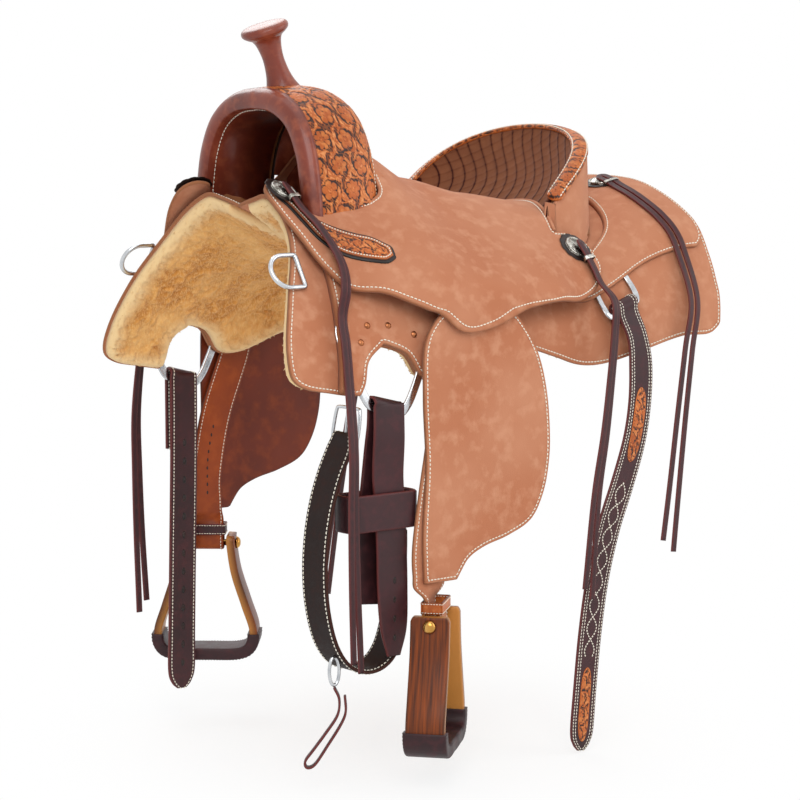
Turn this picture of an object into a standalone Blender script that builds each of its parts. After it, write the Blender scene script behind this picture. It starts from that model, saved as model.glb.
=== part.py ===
# Western performance saddle, modelled piece by piece.
# X runs from the front (horn, minus) to the back (cantle, plus), Z is up and Y goes across.
# The near side of the horse is minus Y. Near and far pieces come from the same functions.
# Every leather layer is draped on one form, the outside of the skirts, at its own height above it.

import math

import bmesh
import bpy
import numpy as np
from mathutils import Matrix, Vector, geometry

GAP = 0.0003            # between pieces that touch

# Form of the skirts: half sections (across, up) at the front, the middle and the back
FRONT_SECTION = [(0, 0.093), (0.032, 0.103), (0.065, 0.108), (0.11, 0.078), (0.145, 0.035),
                 (0.18, -0.025), (0.203, -0.08), (0.218, -0.131), (0.228, -0.22)]
MIDDLE_SECTION = [(0, 0.030), (0.04, 0.030), (0.08, 0.024), (0.125, 0.012), (0.165, -0.008),
                  (0.198, -0.035), (0.216, -0.062), (0.2245, -0.095), (0.227, -0.24)]
REAR_SECTION = [(0, 0.104), (0.052, 0.102), (0.098, 0.094), (0.15, 0.072), (0.190, 0.045),
                (0.212, 0.008), (0.228, -0.03), (0.238, -0.07), (0.244, -0.20)]
FRONT_X = -0.33         # the front section stands here
MIDDLE_FROM_X = -0.10   # the middle section holds from here
MIDDLE_TO_X = 0.10      # to here
REAR_X = 0.37           # the rear section stands here

# Layers, as heights above the form
FLEECE_THICK = 0.017
SKIRT_THICK = 0.0047
BAR_THICK = 0.010
PLATE_THICK = 0.0085
SEAT_LEATHER = 0.005
GROUND_SEAT = 0.014     # thickness of the seat over the channel between the bars
HOUSING_THICK = 0.0060
PATCH_THICK = 0.0035
CHANNEL_HALF = 0.045    # half width of the open channel between the skirts, along the form
RIG_DEE_THICK = 0.0039

# Seat: half sections (across, up) of its top, at places along it
SEAT_SECTIONS = [
    (-0.29, [(0, 0.125), (0.062, 0.117), (0.102, 0.094), (0.140, 0.058), (0.165, 0.025),
             (0.188, -0.012), (0.208, -0.05), (0.225, -0.10), (0.233, -0.15)]),
    (-0.24, [(0, 0.130), (0.064, 0.108), (0.106, 0.086), (0.142, 0.058), (0.170, 0.027),
             (0.197, -0.008), (0.217, -0.045), (0.232, -0.09), (0.238, -0.15)]),
    (-0.19, [(0, 0.145), (0.070, 0.118), (0.112, 0.092), (0.150, 0.063), (0.186, 0.030),
             (0.218, -0.005), (0.238, -0.038), (0.249, -0.09), (0.252, -0.15)]),
    (-0.12, [(0, 0.158), (0.060, 0.146), (0.100, 0.118), (0.148, 0.076), (0.196, 0.036),
             (0.236, -0.002), (0.2540, -0.04), (0.2560, -0.09), (0.2570, -0.15)]),
    (-0.03, [(0, 0.114), (0.060, 0.106), (0.100, 0.088), (0.150, 0.058), (0.200, 0.022),
             (0.240, -0.012), (0.2540, -0.04), (0.2560, -0.09), (0.2570, -0.15)]),
    (0.06, [(0, 0.090), (0.060, 0.089), (0.110, 0.080), (0.160, 0.052), (0.205, 0.018),
            (0.240, -0.016), (0.2535, -0.045), (0.2560, -0.09), (0.2570, -0.15)]),
    (0.12, [(0, 0.072), (0.060, 0.078), (0.110, 0.078), (0.150, 0.062), (0.186, 0.028),
            (0.217, -0.005), (0.234, -0.035), (0.246, -0.08), (0.250, -0.15)]),
    (0.18, [(0, 0.070), (0.060, 0.076), (0.110, 0.070), (0.150, 0.050), (0.186, 0.022),
            (0.212, -0.006), (0.230, -0.038), (0.243, -0.08), (0.247, -0.15)]),
]

# Outlines on the form: (along, distance down from the ridge), one half
SKIRT_OUTLINE = [(-0.262, 0.0), (-0.268, 0.08), (-0.282, 0.165), (-0.315, 0.253), (-0.335, 0.325),
                 (-0.333, 0.352), (-0.318, 0.363), (-0.275, 0.365), (-0.243, 0.362), (-0.237, 0.345),
                 (-0.230, 0.318), (-0.203, 0.290), (-0.170, 0.296), (-0.148, 0.322), (-0.115, 0.322),
                 (-0.04, 0.298), (0.025, 0.292), (0.075, 0.305), (0.13, 0.323), (0.22, 0.338),
                 (0.30, 0.350), (0.350, 0.360), (0.368, 0.350), (0.370, 0.325), (0.370, 0.20),
                 (0.366, 0.10), (0.362, 0.0)]
CHANNEL_FROM_X = -0.215
CHANNEL_TO_X = 0.215
PLATE_OUTLINE = [(-0.243, 0.136), (-0.252, 0.20), (-0.262, 0.28), (-0.272, 0.3635), (-0.243, 0.3605),
                 (-0.2355, 0.345), (-0.2285, 0.3165), (-0.203, 0.2885), (-0.1715, 0.2945),
                 (-0.1490, 0.3205), (-0.117, 0.3205), (-0.112, 0.29), (-0.112, 0.22), (-0.125, 0.170)]
RIG_DEE_OUTER = [(-0.262, 0.277), (-0.264, 0.306), (-0.252, 0.340), (-0.240, 0.362), (-0.229, 0.373),
                 (-0.203, 0.3745), (-0.177, 0.373), (-0.166, 0.362), (-0.154, 0.340), (-0.142, 0.306),
                 (-0.144, 0.277), (-0.155, 0.268), (-0.203, 0.264), (-0.251, 0.268)]
RIG_DEE_BAND = 0.0115   # width of the flat bar that the dee is made of
REAR_RING_OUTER = [(0.168, 0.219), (0.161, 0.226), (0.157, 0.256), (0.159, 0.268), (0.166, 0.2745),
                   (0.190, 0.275), (0.214, 0.2745), (0.221, 0.268), (0.223, 0.256), (0.219, 0.226),
                   (0.212, 0.219)]
REAR_RING_BAND = 0.0085
REAR_RING_THICK = 0.0036
BREAST_DEE_AT = (-0.2885, 0.212)
BREAST_DEE_WIDE = 0.044
BREAST_DEE_LONG = 0.042
BREAST_DEE_WIRE = 0.0030
SEAT_OUTLINE = [(-0.1265, 0.0), (-0.1265, 0.125), (-0.2455, 0.125), (-0.2455, 0.083), (-0.256, 0.070),
                (-0.273, 0.074), (-0.287, 0.092), (-0.287, 0.125), (-0.275, 0.168), (-0.262, 0.205),
                (-0.244, 0.230), (-0.205, 0.236), (-0.160, 0.247), (-0.120, 0.262), (-0.095, 0.268),
                (-0.060, 0.266), (-0.005, 0.255), (0.065, 0.243), (0.120, 0.238), (0.150, 0.229),
                (0.170, 0.212), (0.171, 0.193), (0.166, 0.172), (0.150, 0.160), (0.119, 0.157)]
WELT_OUTLINE = [(0.128, 0.130), (0.146, 0.085), (0.155, 0.040), (0.157, 0.0)]
HOUSING_OUTLINE = [(0.268, 0.0), (0.262, 0.09), (0.235, 0.150), (0.180, 0.178), (0.14, 0.190),
                   (0.115, 0.205), (0.110, 0.228), (0.135, 0.240), (0.19, 0.236), (0.25, 0.230),
                   (0.32, 0.236), (0.348, 0.240), (0.360, 0.228), (0.361, 0.18), (0.359, 0.09),
                   (0.356, 0.0)]
PATCH_OUTLINE = [(-0.247, 0.084), (-0.256, 0.078), (-0.270, 0.084), (-0.275, 0.102), (-0.268, 0.120),
                 (-0.262, 0.140), (-0.250, 0.168), (-0.222, 0.188), (-0.186, 0.196), (-0.172, 0.190),
                 (-0.170, 0.178), (-0.186, 0.166), (-0.205, 0.160), (-0.247, 0.136)]

# Fork, a bent arch: its inner line (across, up), and the outside of its section (along, out)
ARCH_LINE = [(0.0, 0.1985), (0.040, 0.194), (0.074, 0.175), (0.094, 0.142), (0.103, 0.105),
             (0.107, 0.070), (0.111, 0.0)]
FORK_OUTSIDE = [(-0.240, 0.0135), (-0.236, 0.0205), (-0.222, 0.0275), (-0.192, 0.0315),
                (-0.162, 0.0300), (-0.142, 0.0225), (-0.132, 0.0120), (-0.1285, 0.0050)]
FORK_COVER_THICK = 0.0040
GULLET_THICK = 0.0040
GULLET_REAR_X = -0.142

# Horn
HORN_LEAN = math.radians(20)
HORN_AT = (-0.188, 0.0, 0.212)
HORN_CAP_RADIUS = 0.031
HORN_NECK_RADIUS = 0.0135
HORN_TALL = 0.100

# Cantle: the rim runs over from one end to the other
CANTLE_END = (0.119, 0.158, 0.066)
CANTLE_TOP = (0.243, 0.0, 0.176)
CANTLE_PLAN_POWER = 0.70
CANTLE_RISE_POWER = 0.55
INLAY_THICK = 0.004
BINDING_WIDE = 0.024
BINDING_THICK = 0.010
CANTLE_BACK_THICK = 0.0035

# Fender and stirrup
SWING_AT = (-0.100, -0.050)      # along, up: the axis under the side jockey
LEATHER_Y = 0.2390               # middle of the stirrup leather
LEATHER_THICK = 0.0045
LEATHER_WIDE = 0.050
LEATHER_TOP_X = -0.090
FENDER_Y = 0.2442
FENDER_THICK = 0.0042
STIRRUP_TWIST = math.atan2(0.64, 0.77)
STIRRUP_INSIDE_TOP = 0.060       # between the posts at the bolt
STIRRUP_DEEP = 0.049
STIRRUP_WOOD = 0.011
BOLT_RADIUS = 0.0045
STRAP_WIDE = 0.044
STRAP_THICK = 0.0045
STRING_WIDE = 0.012
STRING_THICK = 0.0035
CONCHO_RADIUS = 0.019
SNAP_AT = (-0.2700, -0.2100, -0.4665)
# Conchos: (along, down); each holds a pair of strings
FRONT_CONCHO = (-0.264, 0.0935)
CANTLE_CONCHO = (0.1405, 0.182)
REAR_CONCHO = (0.315, 0.055)

SIDES = {"near": -1, "far": 1}
# Lowest places of the two stirrups: the near leather is let down a little further
BOLT_HEIGHT = {"near": -0.434, "far": -0.402}
STIRRUP_AT = {"near": (-0.140, 0.2475), "far": (-0.150, 0.2475)}   # along, across

# Colours and surfaces: red, green, blue, roughness, metallic
FINISHES = {
    "roughout": (0.62, 0.36, 0.25, 0.95, 0.0),
    "fleece": (0.80, 0.50, 0.20, 1.0, 0.0),
    "wood": (0.30, 0.17, 0.09, 0.5, 0.0),
    "tooled": (0.48, 0.20, 0.07, 0.45, 0.0),
    "smooth": (0.17, 0.05, 0.03, 0.3, 0.0),
    "burgundy": (0.08, 0.03, 0.035, 0.45, 0.0),
    "russet": (0.36, 0.11, 0.035, 0.4, 0.0),
    "steel": (0.75, 0.75, 0.76, 0.2, 1.0),
    "brass": (0.78, 0.55, 0.25, 0.3, 1.0),
    "inlay": (0.50, 0.28, 0.17, 0.9, 0.0),
}

parts = None
cutters = None


def start():
    # Clears the file's scene and makes the two collections
    global parts, cutters
    for thing in list(bpy.data.objects):
        bpy.data.objects.remove(thing)
    parts = bpy.data.collections.new("performance_saddle")
    cutters = bpy.data.collections.new("cutters")
    for group in (parts, cutters):
        bpy.context.scene.collection.children.link(group)


def finish_for(name, finish):
    red, green, blue, roughness, metallic = FINISHES[finish]
    material = bpy.data.materials.new(name)
    material.use_nodes = True
    shader = material.node_tree.nodes["Principled BSDF"]
    shader.inputs["Base Color"].default_value = (red, green, blue, 1)
    shader.inputs["Roughness"].default_value = roughness
    shader.inputs["Metallic"].default_value = metallic
    return material


def new_object(name, data, finish=None):
    # Links the data as a sub-part, or as a cutter when it has no finish
    thing = bpy.data.objects.new(name, data)
    if finish:
        parts.objects.link(thing)
        data.materials.append(finish_for(name, finish))
    else:
        cutters.objects.link(thing)
        thing.hide_render = True
        thing.display_type = "WIRE"
    return thing


def closed_mesh(name, corners, faces, finish=None):
    # Makes a closed mesh, welded and facing outwards
    mesh = bpy.data.meshes.new(name)
    mesh.from_pydata([tuple(c) for c in corners], [], faces)
    body = bmesh.new()
    body.from_mesh(mesh)
    bmesh.ops.remove_doubles(body, verts=body.verts, dist=0.00001)
    bmesh.ops.recalc_face_normals(body, faces=body.faces)
    if body.calc_volume(signed=True) < 0:
        bmesh.ops.reverse_faces(body, faces=body.faces)
    body.to_mesh(mesh)
    body.free()
    mesh.shade_smooth()
    mesh.set_sharp_from_angle(angle=math.radians(40))
    return new_object(name, mesh, finish)


def cut(thing, cutter, operation="DIFFERENCE"):
    step = thing.modifiers.new(cutter.name, "BOOLEAN")
    step.operation = operation
    step.solver = "EXACT"
    step.object = cutter
    return thing


def smooth_line(points, steps):
    # Smooth curve through the points, with this many steps between each two
    known = np.array(points, float)
    ends = np.vstack([2 * known[0] - known[1], known, 2 * known[-1] - known[-2]])
    line = []
    for i in range(len(known) - 1):
        a, b, c, d = ends[i:i + 4]
        for s in np.linspace(0, 1, steps, endpoint=False):
            line.append(0.5 * (2 * b + (c - a) * s + (2 * a - 5 * b + 4 * c - d) * s ** 2
                               + (3 * b - a - 3 * c + d) * s ** 3))
    return np.array(line + [known[-1]])


def lengths(line):
    return np.r_[0, np.cumsum(np.linalg.norm(np.diff(line, axis=0), axis=1))]


def ease(v):
    v = min(max(v, 0.0), 1.0)
    return v * v * (3 - 2 * v)


class Form:
    # The outside of the skirts as a grid: columns along X, rows down from the ridge

    ROWS = [0, 0.03, 0.06, 0.09, 0.12, 0.15, 0.18, 0.21, 0.24, 0.27, 0.305, 0.345, 0.395]

    def __init__(self):
        self.along = np.r_[np.linspace(-0.35, -0.10, 7), np.linspace(-0.05, 0.39, 9)]
        rows = self.ROWS
        self.down = np.array([-r for r in rows[:0:-1]] + rows)
        self.place = np.zeros((len(self.along), len(self.down), 3))
        self.out = np.zeros_like(self.place)
        for i, x in enumerate(self.along):
            line = smooth_line(self.section(x), 12)
            run = lengths(line)
            for j, t in enumerate(self.down):
                here = [np.interp(abs(t), run, line[:, k]) for k in (0, 1)]
                lo, hi = max(abs(t) - 0.006, 0), min(abs(t) + 0.006, run[-1])
                across = [np.interp(hi, run, line[:, k]) - np.interp(lo, run, line[:, k]) for k in (0, 1)]
                size = math.hypot(*across)
                side = math.copysign(1, t)
                self.place[i, j] = x, side * here[0], here[1]
                self.out[i, j] = 0, -across[1] / size * side, across[0] / size
                if t == 0:
                    self.out[i, j] = 0, 0, 1

    def section(self, x):
        front, middle, rear = map(np.array, (FRONT_SECTION, MIDDLE_SECTION, REAR_SECTION))
        if x < MIDDLE_FROM_X:
            w = ease((x - FRONT_X) / (MIDDLE_FROM_X - FRONT_X))
            return front * (1 - w) + middle * w
        w = ease((x - MIDDLE_TO_X) / (REAR_X - MIDDLE_TO_X))
        return middle * (1 - w) + rear * w

    def raised(self, height):
        # Grid points lifted off the form by a height, or by a grid of heights
        tall = height if np.ndim(height) else np.full(self.place.shape[:2], height)
        return self.place + self.out * tall[..., None]

    def cell(self, x, t):
        i = int(np.clip(np.searchsorted(self.along, x) - 1, 0, len(self.along) - 2))
        j = int(np.clip(np.searchsorted(self.down, t) - 1, 0, len(self.down) - 2))
        u = (x - self.along[i]) / (self.along[i + 1] - self.along[i])
        v = (t - self.down[j]) / (self.down[j + 1] - self.down[j])
        return i, j, u, v

    def at(self, lifted, x, t):
        # Point of a lifted grid, on the flat triangles that its cells are split into
        i, j, u, v = self.cell(x, t)
        a, b, c, d = lifted[i, j], lifted[i + 1, j], lifted[i + 1, j + 1], lifted[i, j + 1]
        if t >= 0:
            return a + (b - a) * u + (c - b) * v if u >= v else a + (c - d) * u + (d - a) * v
        return a + (b - a) * u + (d - a) * v if u + v <= 1 else c + (d - c) * (1 - u) + (b - c) * (1 - v)


form = Form()


def grid_of(heights):
    # Heights above the form as a grid, from a number or a function of (along, down)
    if callable(heights):
        return np.array([[heights(x, t) for t in form.down] for x in form.along])
    return np.full(form.place.shape[:2], float(heights))


def seat_heights():
    # Height of the seat's top above the form: each way out of the form meets the seat's section
    stations = np.array([s[0] for s in SEAT_SECTIONS])
    known = np.array([s[1] for s in SEAT_SECTIONS], float)
    tall = np.zeros(form.place.shape[:2])
    for i, x in enumerate(form.along):
        k = int(np.clip(np.searchsorted(stations, x) - 1, 0, len(stations) - 2))
        w = ease((x - stations[k]) / (stations[k + 1] - stations[k]))
        line = smooth_line(known[k] * (1 - w) + known[k + 1] * w, 6)
        for j, t in enumerate(form.down):
            start_at = np.array([abs(form.place[i, j, 1]), form.place[i, j, 2]])
            way = np.array([abs(form.out[i, j, 1]), form.out[i, j, 2]])
            side = np.array([-way[1], way[0]])
            off = (line - start_at) @ side
            reach = (line - start_at) @ way
            best = None
            for a in range(len(line) - 1):
                if off[a] * off[a + 1] <= 0 and off[a] != off[a + 1]:
                    share = off[a] / (off[a] - off[a + 1])
                    found = reach[a] + share * (reach[a + 1] - reach[a])
                    best = found if best is None else max(best, found)
            tall[i, j] = best if best is not None else SEAT_LEATHER * 2
    return tall


def inside(point, loop):
    x, y = point
    hit = False
    for (ax, ay), (bx, by) in zip(loop, np.roll(loop, -1, axis=0)):
        if (ay > y) != (by > y) and x < (bx - ax) * (y - ay) / (by - ay) + ax:
            hit = not hit
    return hit


def draped(name, loop, low, high, finish=None, hole=None):
    # A sheet between two heights above the form, inside a loop of (along, down) points
    low_grid, high_grid = (form.raised(grid_of(h) if not isinstance(h, np.ndarray) else h)
                           for h in (low, high))
    loop = np.array(loop, float)
    loops = [loop] + ([np.array(hole, float)] if hole is not None else [])
    points, edges = [], []
    for ring in loops:
        first = len(points)
        points += [Vector(p) for p in ring]
        edges += [(first + k, first + (k + 1) % len(ring)) for k in range(len(ring))]
    (x_lo, t_lo), (x_hi, t_hi) = loop.min(0), loop.max(0)
    columns = [i for i, x in enumerate(form.along)
               if form.along[max(i - 1, 0)] <= x_hi and form.along[min(i + 1, len(form.along) - 1)] >= x_lo]
    rows = [j for j, t in enumerate(form.down)
            if form.down[max(j - 1, 0)] <= t_hi and form.down[min(j + 1, len(form.down) - 1)] >= t_lo]
    index = {}
    for i in columns:
        for j in rows:
            index[i, j] = len(points)
            points.append(Vector((form.along[i], form.down[j])))
    for i in columns:
        for j in rows:
            for a, b in ((i + 1, j), (i, j + 1)):
                if (a, b) in index:
                    edges.append((index[i, j], index[a, b]))
            if (i + 1, j + 1) in index:
                far_half = form.down[j] >= 0
                edges.append((index[i, j], index[i + 1, j + 1]) if far_half
                             else (index[i + 1, j], index[i, j + 1]))
    flat, _, faces, *_ = geometry.delaunay_2d_cdt(points, edges, [], 0, 0.00002)
    kept = []
    for face in faces:
        middle = sum((flat[k] for k in face), Vector((0, 0))) / len(face)
        if inside(middle, loop) and (hole is None or not inside(middle, loops[1])):
            kept.append(tuple(face))
    used = sorted({k for face in kept for k in face})
    order = {k: n for n, k in enumerate(used)}
    top = [form.at(high_grid, *flat[k]) for k in used]
    under = [form.at(low_grid, *flat[k]) for k in used]
    count = len(used)
    solid = [tuple(order[k] for k in face) for face in kept]
    solid += [tuple(order[k] + count for k in reversed(face)) for face in kept]
    rim = {}
    for face in kept:
        for a, b in zip(face, face[1:] + face[:1]):
            rim[a, b] = True
    for a, b in rim:
        if (b, a) not in rim:
            solid.append((order[b], order[a], order[a] + count, order[b] + count))
    return closed_mesh(name, top + under, solid, finish)


def mirrored(points, side):
    return [(x, side * t) for x, t in points]


def both_sides(half):
    # A whole loop from a half outline that starts and ends on the ridge
    rest = [(x, -t) for x, t in reversed(half) if t > 0]
    return list(half) + rest


def inset(loop, by):
    # Moves every point of a loop inwards by this much
    loop = np.array(loop, float)
    area = np.sum(loop[:, 0] * np.roll(loop[:, 1], -1) - np.roll(loop[:, 0], -1) * loop[:, 1])
    turn = 1 if area > 0 else -1
    before, after = np.roll(loop, 1, axis=0), np.roll(loop, -1, axis=0)
    way = (loop - before) / np.linalg.norm(loop - before, axis=1)[:, None]
    way = way + (after - loop) / np.linalg.norm(after - loop, axis=1)[:, None]
    way /= np.linalg.norm(way, axis=1)[:, None]
    return loop + turn * by * np.stack([-way[:, 1], way[:, 0]], axis=1)


def swept(name, rings, finish=None, round_trip=False):
    # Joins rings of points one after another, and closes the ends or joins last to first
    count = len(rings[0])
    corners = [p for ring in rings for p in ring]
    faces = []
    last = len(rings) if round_trip else len(rings) - 1
    for r in range(last):
        for k in range(count):
            a, b = r * count + k, r * count + (k + 1) % count
            step = ((r + 1) % len(rings)) * count
            faces.append((a, b, step + (k + 1) % count, step + k))
    if not round_trip:
        faces.append(tuple(range(count)))
        faces.append(tuple(range((len(rings) - 1) * count, len(rings) * count)))
    return closed_mesh(name, corners, faces, finish)


def ribbon(name, path, across, wide, thick, finish, round_trip=False):
    # A strap along a path, its width along the directions given for each point
    path = np.array(path, float)
    across = np.array(across, float)
    if across.ndim == 1:
        across = np.tile(across, (len(path), 1))
    wide = np.broadcast_to(np.array(wide, float), (len(path),))
    if round_trip:
        ahead = np.roll(path, -1, axis=0) - np.roll(path, 1, axis=0)
    else:
        ahead = np.gradient(path, axis=0)
    rings = []
    for here, way, side, width in zip(path, ahead, across, wide):
        way = way / np.linalg.norm(way)
        side = side - way * (side @ way)
        side = side / np.linalg.norm(side)
        up = np.cross(way, side)
        rings.append([here + side * a * width / 2 + up * b * thick / 2
                      for a, b in ((-1, -1), (1, -1), (1, 1), (-1, 1))])
    return swept(name, rings, finish, round_trip)


def turned(name, profile, at, axis, steps, finish):
    # A turned piece: the profile is (radius, height), from the top of its axis down its outside
    mesh = bpy.data.meshes.new(name)
    mesh.from_pydata([(r, 0, z) for r, z in profile], [(k, k + 1) for k in range(len(profile) - 1)], [])
    thing = new_object(name, mesh, finish)
    screw = thing.modifiers.new("turn", "SCREW")
    screw.steps = steps
    screw.render_steps = steps
    screw.use_merge_vertices = True
    screw.merge_threshold = 0.00001
    thing.matrix_world = Matrix.Translation(at) @ Vector((0, 0, 1)).rotation_difference(Vector(axis)).to_matrix().to_4x4()
    return thing


def wire_loop(name, points, radius, finish):
    # A closed ring of round bar
    curve = bpy.data.curves.new(name, "CURVE")
    curve.dimensions = "3D"
    curve.bevel_depth = radius
    curve.bevel_resolution = 1
    curve.resolution_u = 1
    spline = curve.splines.new("POLY")
    spline.points.add(len(points) - 1)
    for knot, place in zip(spline.points, points):
        knot.co = (*place, 1)
    spline.use_cyclic_u = True
    return new_object(name, curve, finish)


def hang_on(things, name, at):
    # Parents the pieces of a moving body to an empty on its joint's axis
    pivot = bpy.data.objects.new(name, None)
    pivot.location = at
    parts.objects.link(pivot)
    place = Matrix.Translation(at)
    for thing in things:
        thing.parent = pivot
        thing.matrix_parent_inverse = place.inverted()


def skirts(side_name, side):
    line = SKIRT_OUTLINE
    slit = 0.0006
    half = [(x, max(t, slit)) for x, t in line]
    half += [(CHANNEL_TO_X + 0.03, slit), (CHANNEL_TO_X, CHANNEL_HALF), (CHANNEL_FROM_X, CHANNEL_HALF),
             (CHANNEL_FROM_X - 0.02, slit)]
    loop = mirrored(half, side)
    draped(f"skirt_{side_name}", loop, -SKIRT_THICK - GAP, -GAP, "roughout")
    lining = [(x, side * max(abs(t), slit)) for x, t in inset(loop, 0.002)]
    base = -SKIRT_THICK - 2 * GAP
    draped(f"fleece_{side_name}", lining, base - FLEECE_THICK, base, "fleece")


def rig_dee_loops(side, grow=0.0):
    outer = inset(mirrored(RIG_DEE_OUTER, side), -grow)
    inner = inset(mirrored(RIG_DEE_OUTER, side), RIG_DEE_BAND + grow)
    return outer, inner


def rigging(side_name, side):
    # A large flat dee held between the skirt and a plate of leather, its arms down both sides of the arch
    outer, inner = rig_dee_loops(side)
    draped(f"front_rig_ring_{side_name}", outer, GAP, GAP + RIG_DEE_THICK, "steel", hole=inner)
    plate = draped(f"rigging_plate_{side_name}", mirrored(PLATE_OUTLINE, side), 0.0, PLATE_THICK, "roughout")
    outer, inner = rig_dee_loops(side, 0.0010)
    pocket = draped(f"dee_pocket_{side_name}", outer, -0.004, RIG_DEE_THICK + 2 * GAP, hole=inner)
    cut(plate, pocket)


def tree_bars(side_name, side):
    half = [(-0.2385, 0.03), (-0.2400, 0.10), (-0.235, 0.128), (-0.15, 0.150), (0.0, 0.168), (0.12, 0.166),
            (0.205, 0.152), (0.234, 0.115), (0.237, 0.05), (0.225, 0.03)]
    draped(f"tree_bar_{side_name}", mirrored(half, side), 0.0, BAR_THICK, "wood")


def arch_rings(section, steps=2):
    # Carries a section (along, out) over the whole arch
    half = smooth_line(ARCH_LINE, steps)
    line = np.vstack([half[:0:-1] * (-1, 1), half])
    ahead = np.gradient(line, axis=0)
    ahead /= np.linalg.norm(ahead, axis=1)[:, None]
    rings = []
    for (y, z), (dy, dz) in zip(line, ahead):
        rings.append([(x, y - dz * out, z + dy * out) for x, out in section])
    return rings


def shrunk(points, by):
    # Moves an open line of points towards its own inner side
    points = np.array(points, float)
    ahead = np.gradient(points, axis=0)
    ahead /= np.linalg.norm(ahead, axis=1)[:, None]
    return points + by * np.stack([ahead[:, 1], -ahead[:, 0]], axis=1)


def fork():
    outside = np.array(FORK_OUTSIDE)
    under_cover = shrunk(outside, FORK_COVER_THICK)
    cover = swept("fork_cover", arch_rings([*outside, *under_cover[::-1]]), "tooled")
    front = FORK_OUTSIDE[0][0]
    lip = [(GULLET_REAR_X, 0.0), (front - 0.002, 0.0), (front - 0.004, 0.004), (front - 0.0035, 0.0125),
           (front + GULLET_THICK - 0.0035, 0.0125), (front + GULLET_THICK - 0.0035, GULLET_THICK),
           (GULLET_REAR_X, GULLET_THICK)]
    gullet = swept("gullet_cover", arch_rings(lip), "smooth")
    core = shrunk(outside, FORK_COVER_THICK + GAP)[1:-1]
    core = [(max(x, front + GULLET_THICK), out) for x, out in core]
    base = GULLET_THICK + GAP
    core = [(front + GULLET_THICK, base), *core, (core[-1][0], base)]
    wood = swept("tree_fork", arch_rings(core), "wood")
    seat_on = draped("bar_tops", both_sides([(-0.30, 0.0), (-0.30, 0.19), (-0.09, 0.19), (-0.09, 0.0)]),
                     -0.06, BAR_THICK + GAP)
    for thing in (cover, gullet, wood):
        cut(thing, seat_on)
    grown = shrunk(outside, -0.0006)
    grown = [(grown[0][0] - 0.003, -0.004), *grown, (grown[-1][0] + 0.0005, -0.004)]
    return swept("fork_room", arch_rings(grown))


def horn():
    tall = HORN_TALL
    profile = [(0.0, tall), (0.020, tall - 0.0005), (HORN_CAP_RADIUS - 0.003, tall - 0.002),
               (HORN_CAP_RADIUS, tall - 0.006), (HORN_CAP_RADIUS - 0.001, tall - 0.011),
               (0.022, tall - 0.017), (0.0155, tall - 0.028), (HORN_NECK_RADIUS, tall - 0.045),
               (0.0150, tall - 0.064), (0.0185, tall - 0.078), (0.0235, tall - 0.086), (0.0235, 0.0), (0.0, 0.0)]
    lean = (-math.sin(HORN_LEAN), 0, math.cos(HORN_LEAN))
    thing = turned("horn", profile, HORN_AT, lean, 20, "smooth")
    grown = shrunk(FORK_OUTSIDE, -GAP)
    room = [(grown[0][0], -0.01), *grown, (grown[-1][0], -0.01)]
    cut(thing, swept("horn_foot", arch_rings(room)))


def seat(room, heights):
    # One leather over the ground seat and both side jockeys
    def underside(x, t):
        i, j = np.argmin(abs(form.along - x)), np.argmin(abs(form.down - t))
        leather = heights[i, j] - SEAT_LEATHER
        on_bars = BAR_THICK + GAP
        arch = max(heights[i, j] - GROUND_SEAT, on_bars)
        down = abs(t)
        if down <= 0.05:
            return arch
        if down < 0.15:
            return min(on_bars, leather)
        return leather
    loop = both_sides(SEAT_OUTLINE + WELT_OUTLINE)
    thing = draped("seat_leather", loop, underside, heights, "roughout")
    cut(thing, room)


def cantle_line(turn, inward=0.0, lower=0.0):
    # A point of the cantle's rim; turn goes from -1 at the near end to 1 at the far end
    angle = turn * math.pi / 2
    c = max(math.cos(angle), 0.0)
    x = CANTLE_END[0] + (CANTLE_TOP[0] - CANTLE_END[0]) * c ** CANTLE_PLAN_POWER
    z = CANTLE_END[2] + (CANTLE_TOP[2] - CANTLE_END[2]) * c ** CANTLE_RISE_POWER
    y = CANTLE_END[1] * math.sin(angle)
    out = np.array([max(c, 0.12) ** 0.5, 0.9 * math.sin(angle), 0])
    out /= np.linalg.norm(out)
    return np.array([x, y, z]) - out * inward - np.array([0, 0, lower]), out


def welt_line(turn):
    # Foot of the dished face, a little behind the seat's edge
    angle = turn * math.pi / 2
    c = max(math.cos(angle), 0.0)
    return np.array([CANTLE_END[0] + 0.002 + (0.161 - CANTLE_END[0] - 0.002) * c ** 0.8,
                     (CANTLE_END[1] - 0.006) * math.sin(angle), 0.058 + 0.010 * c - 0.004 * c * c])


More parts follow.
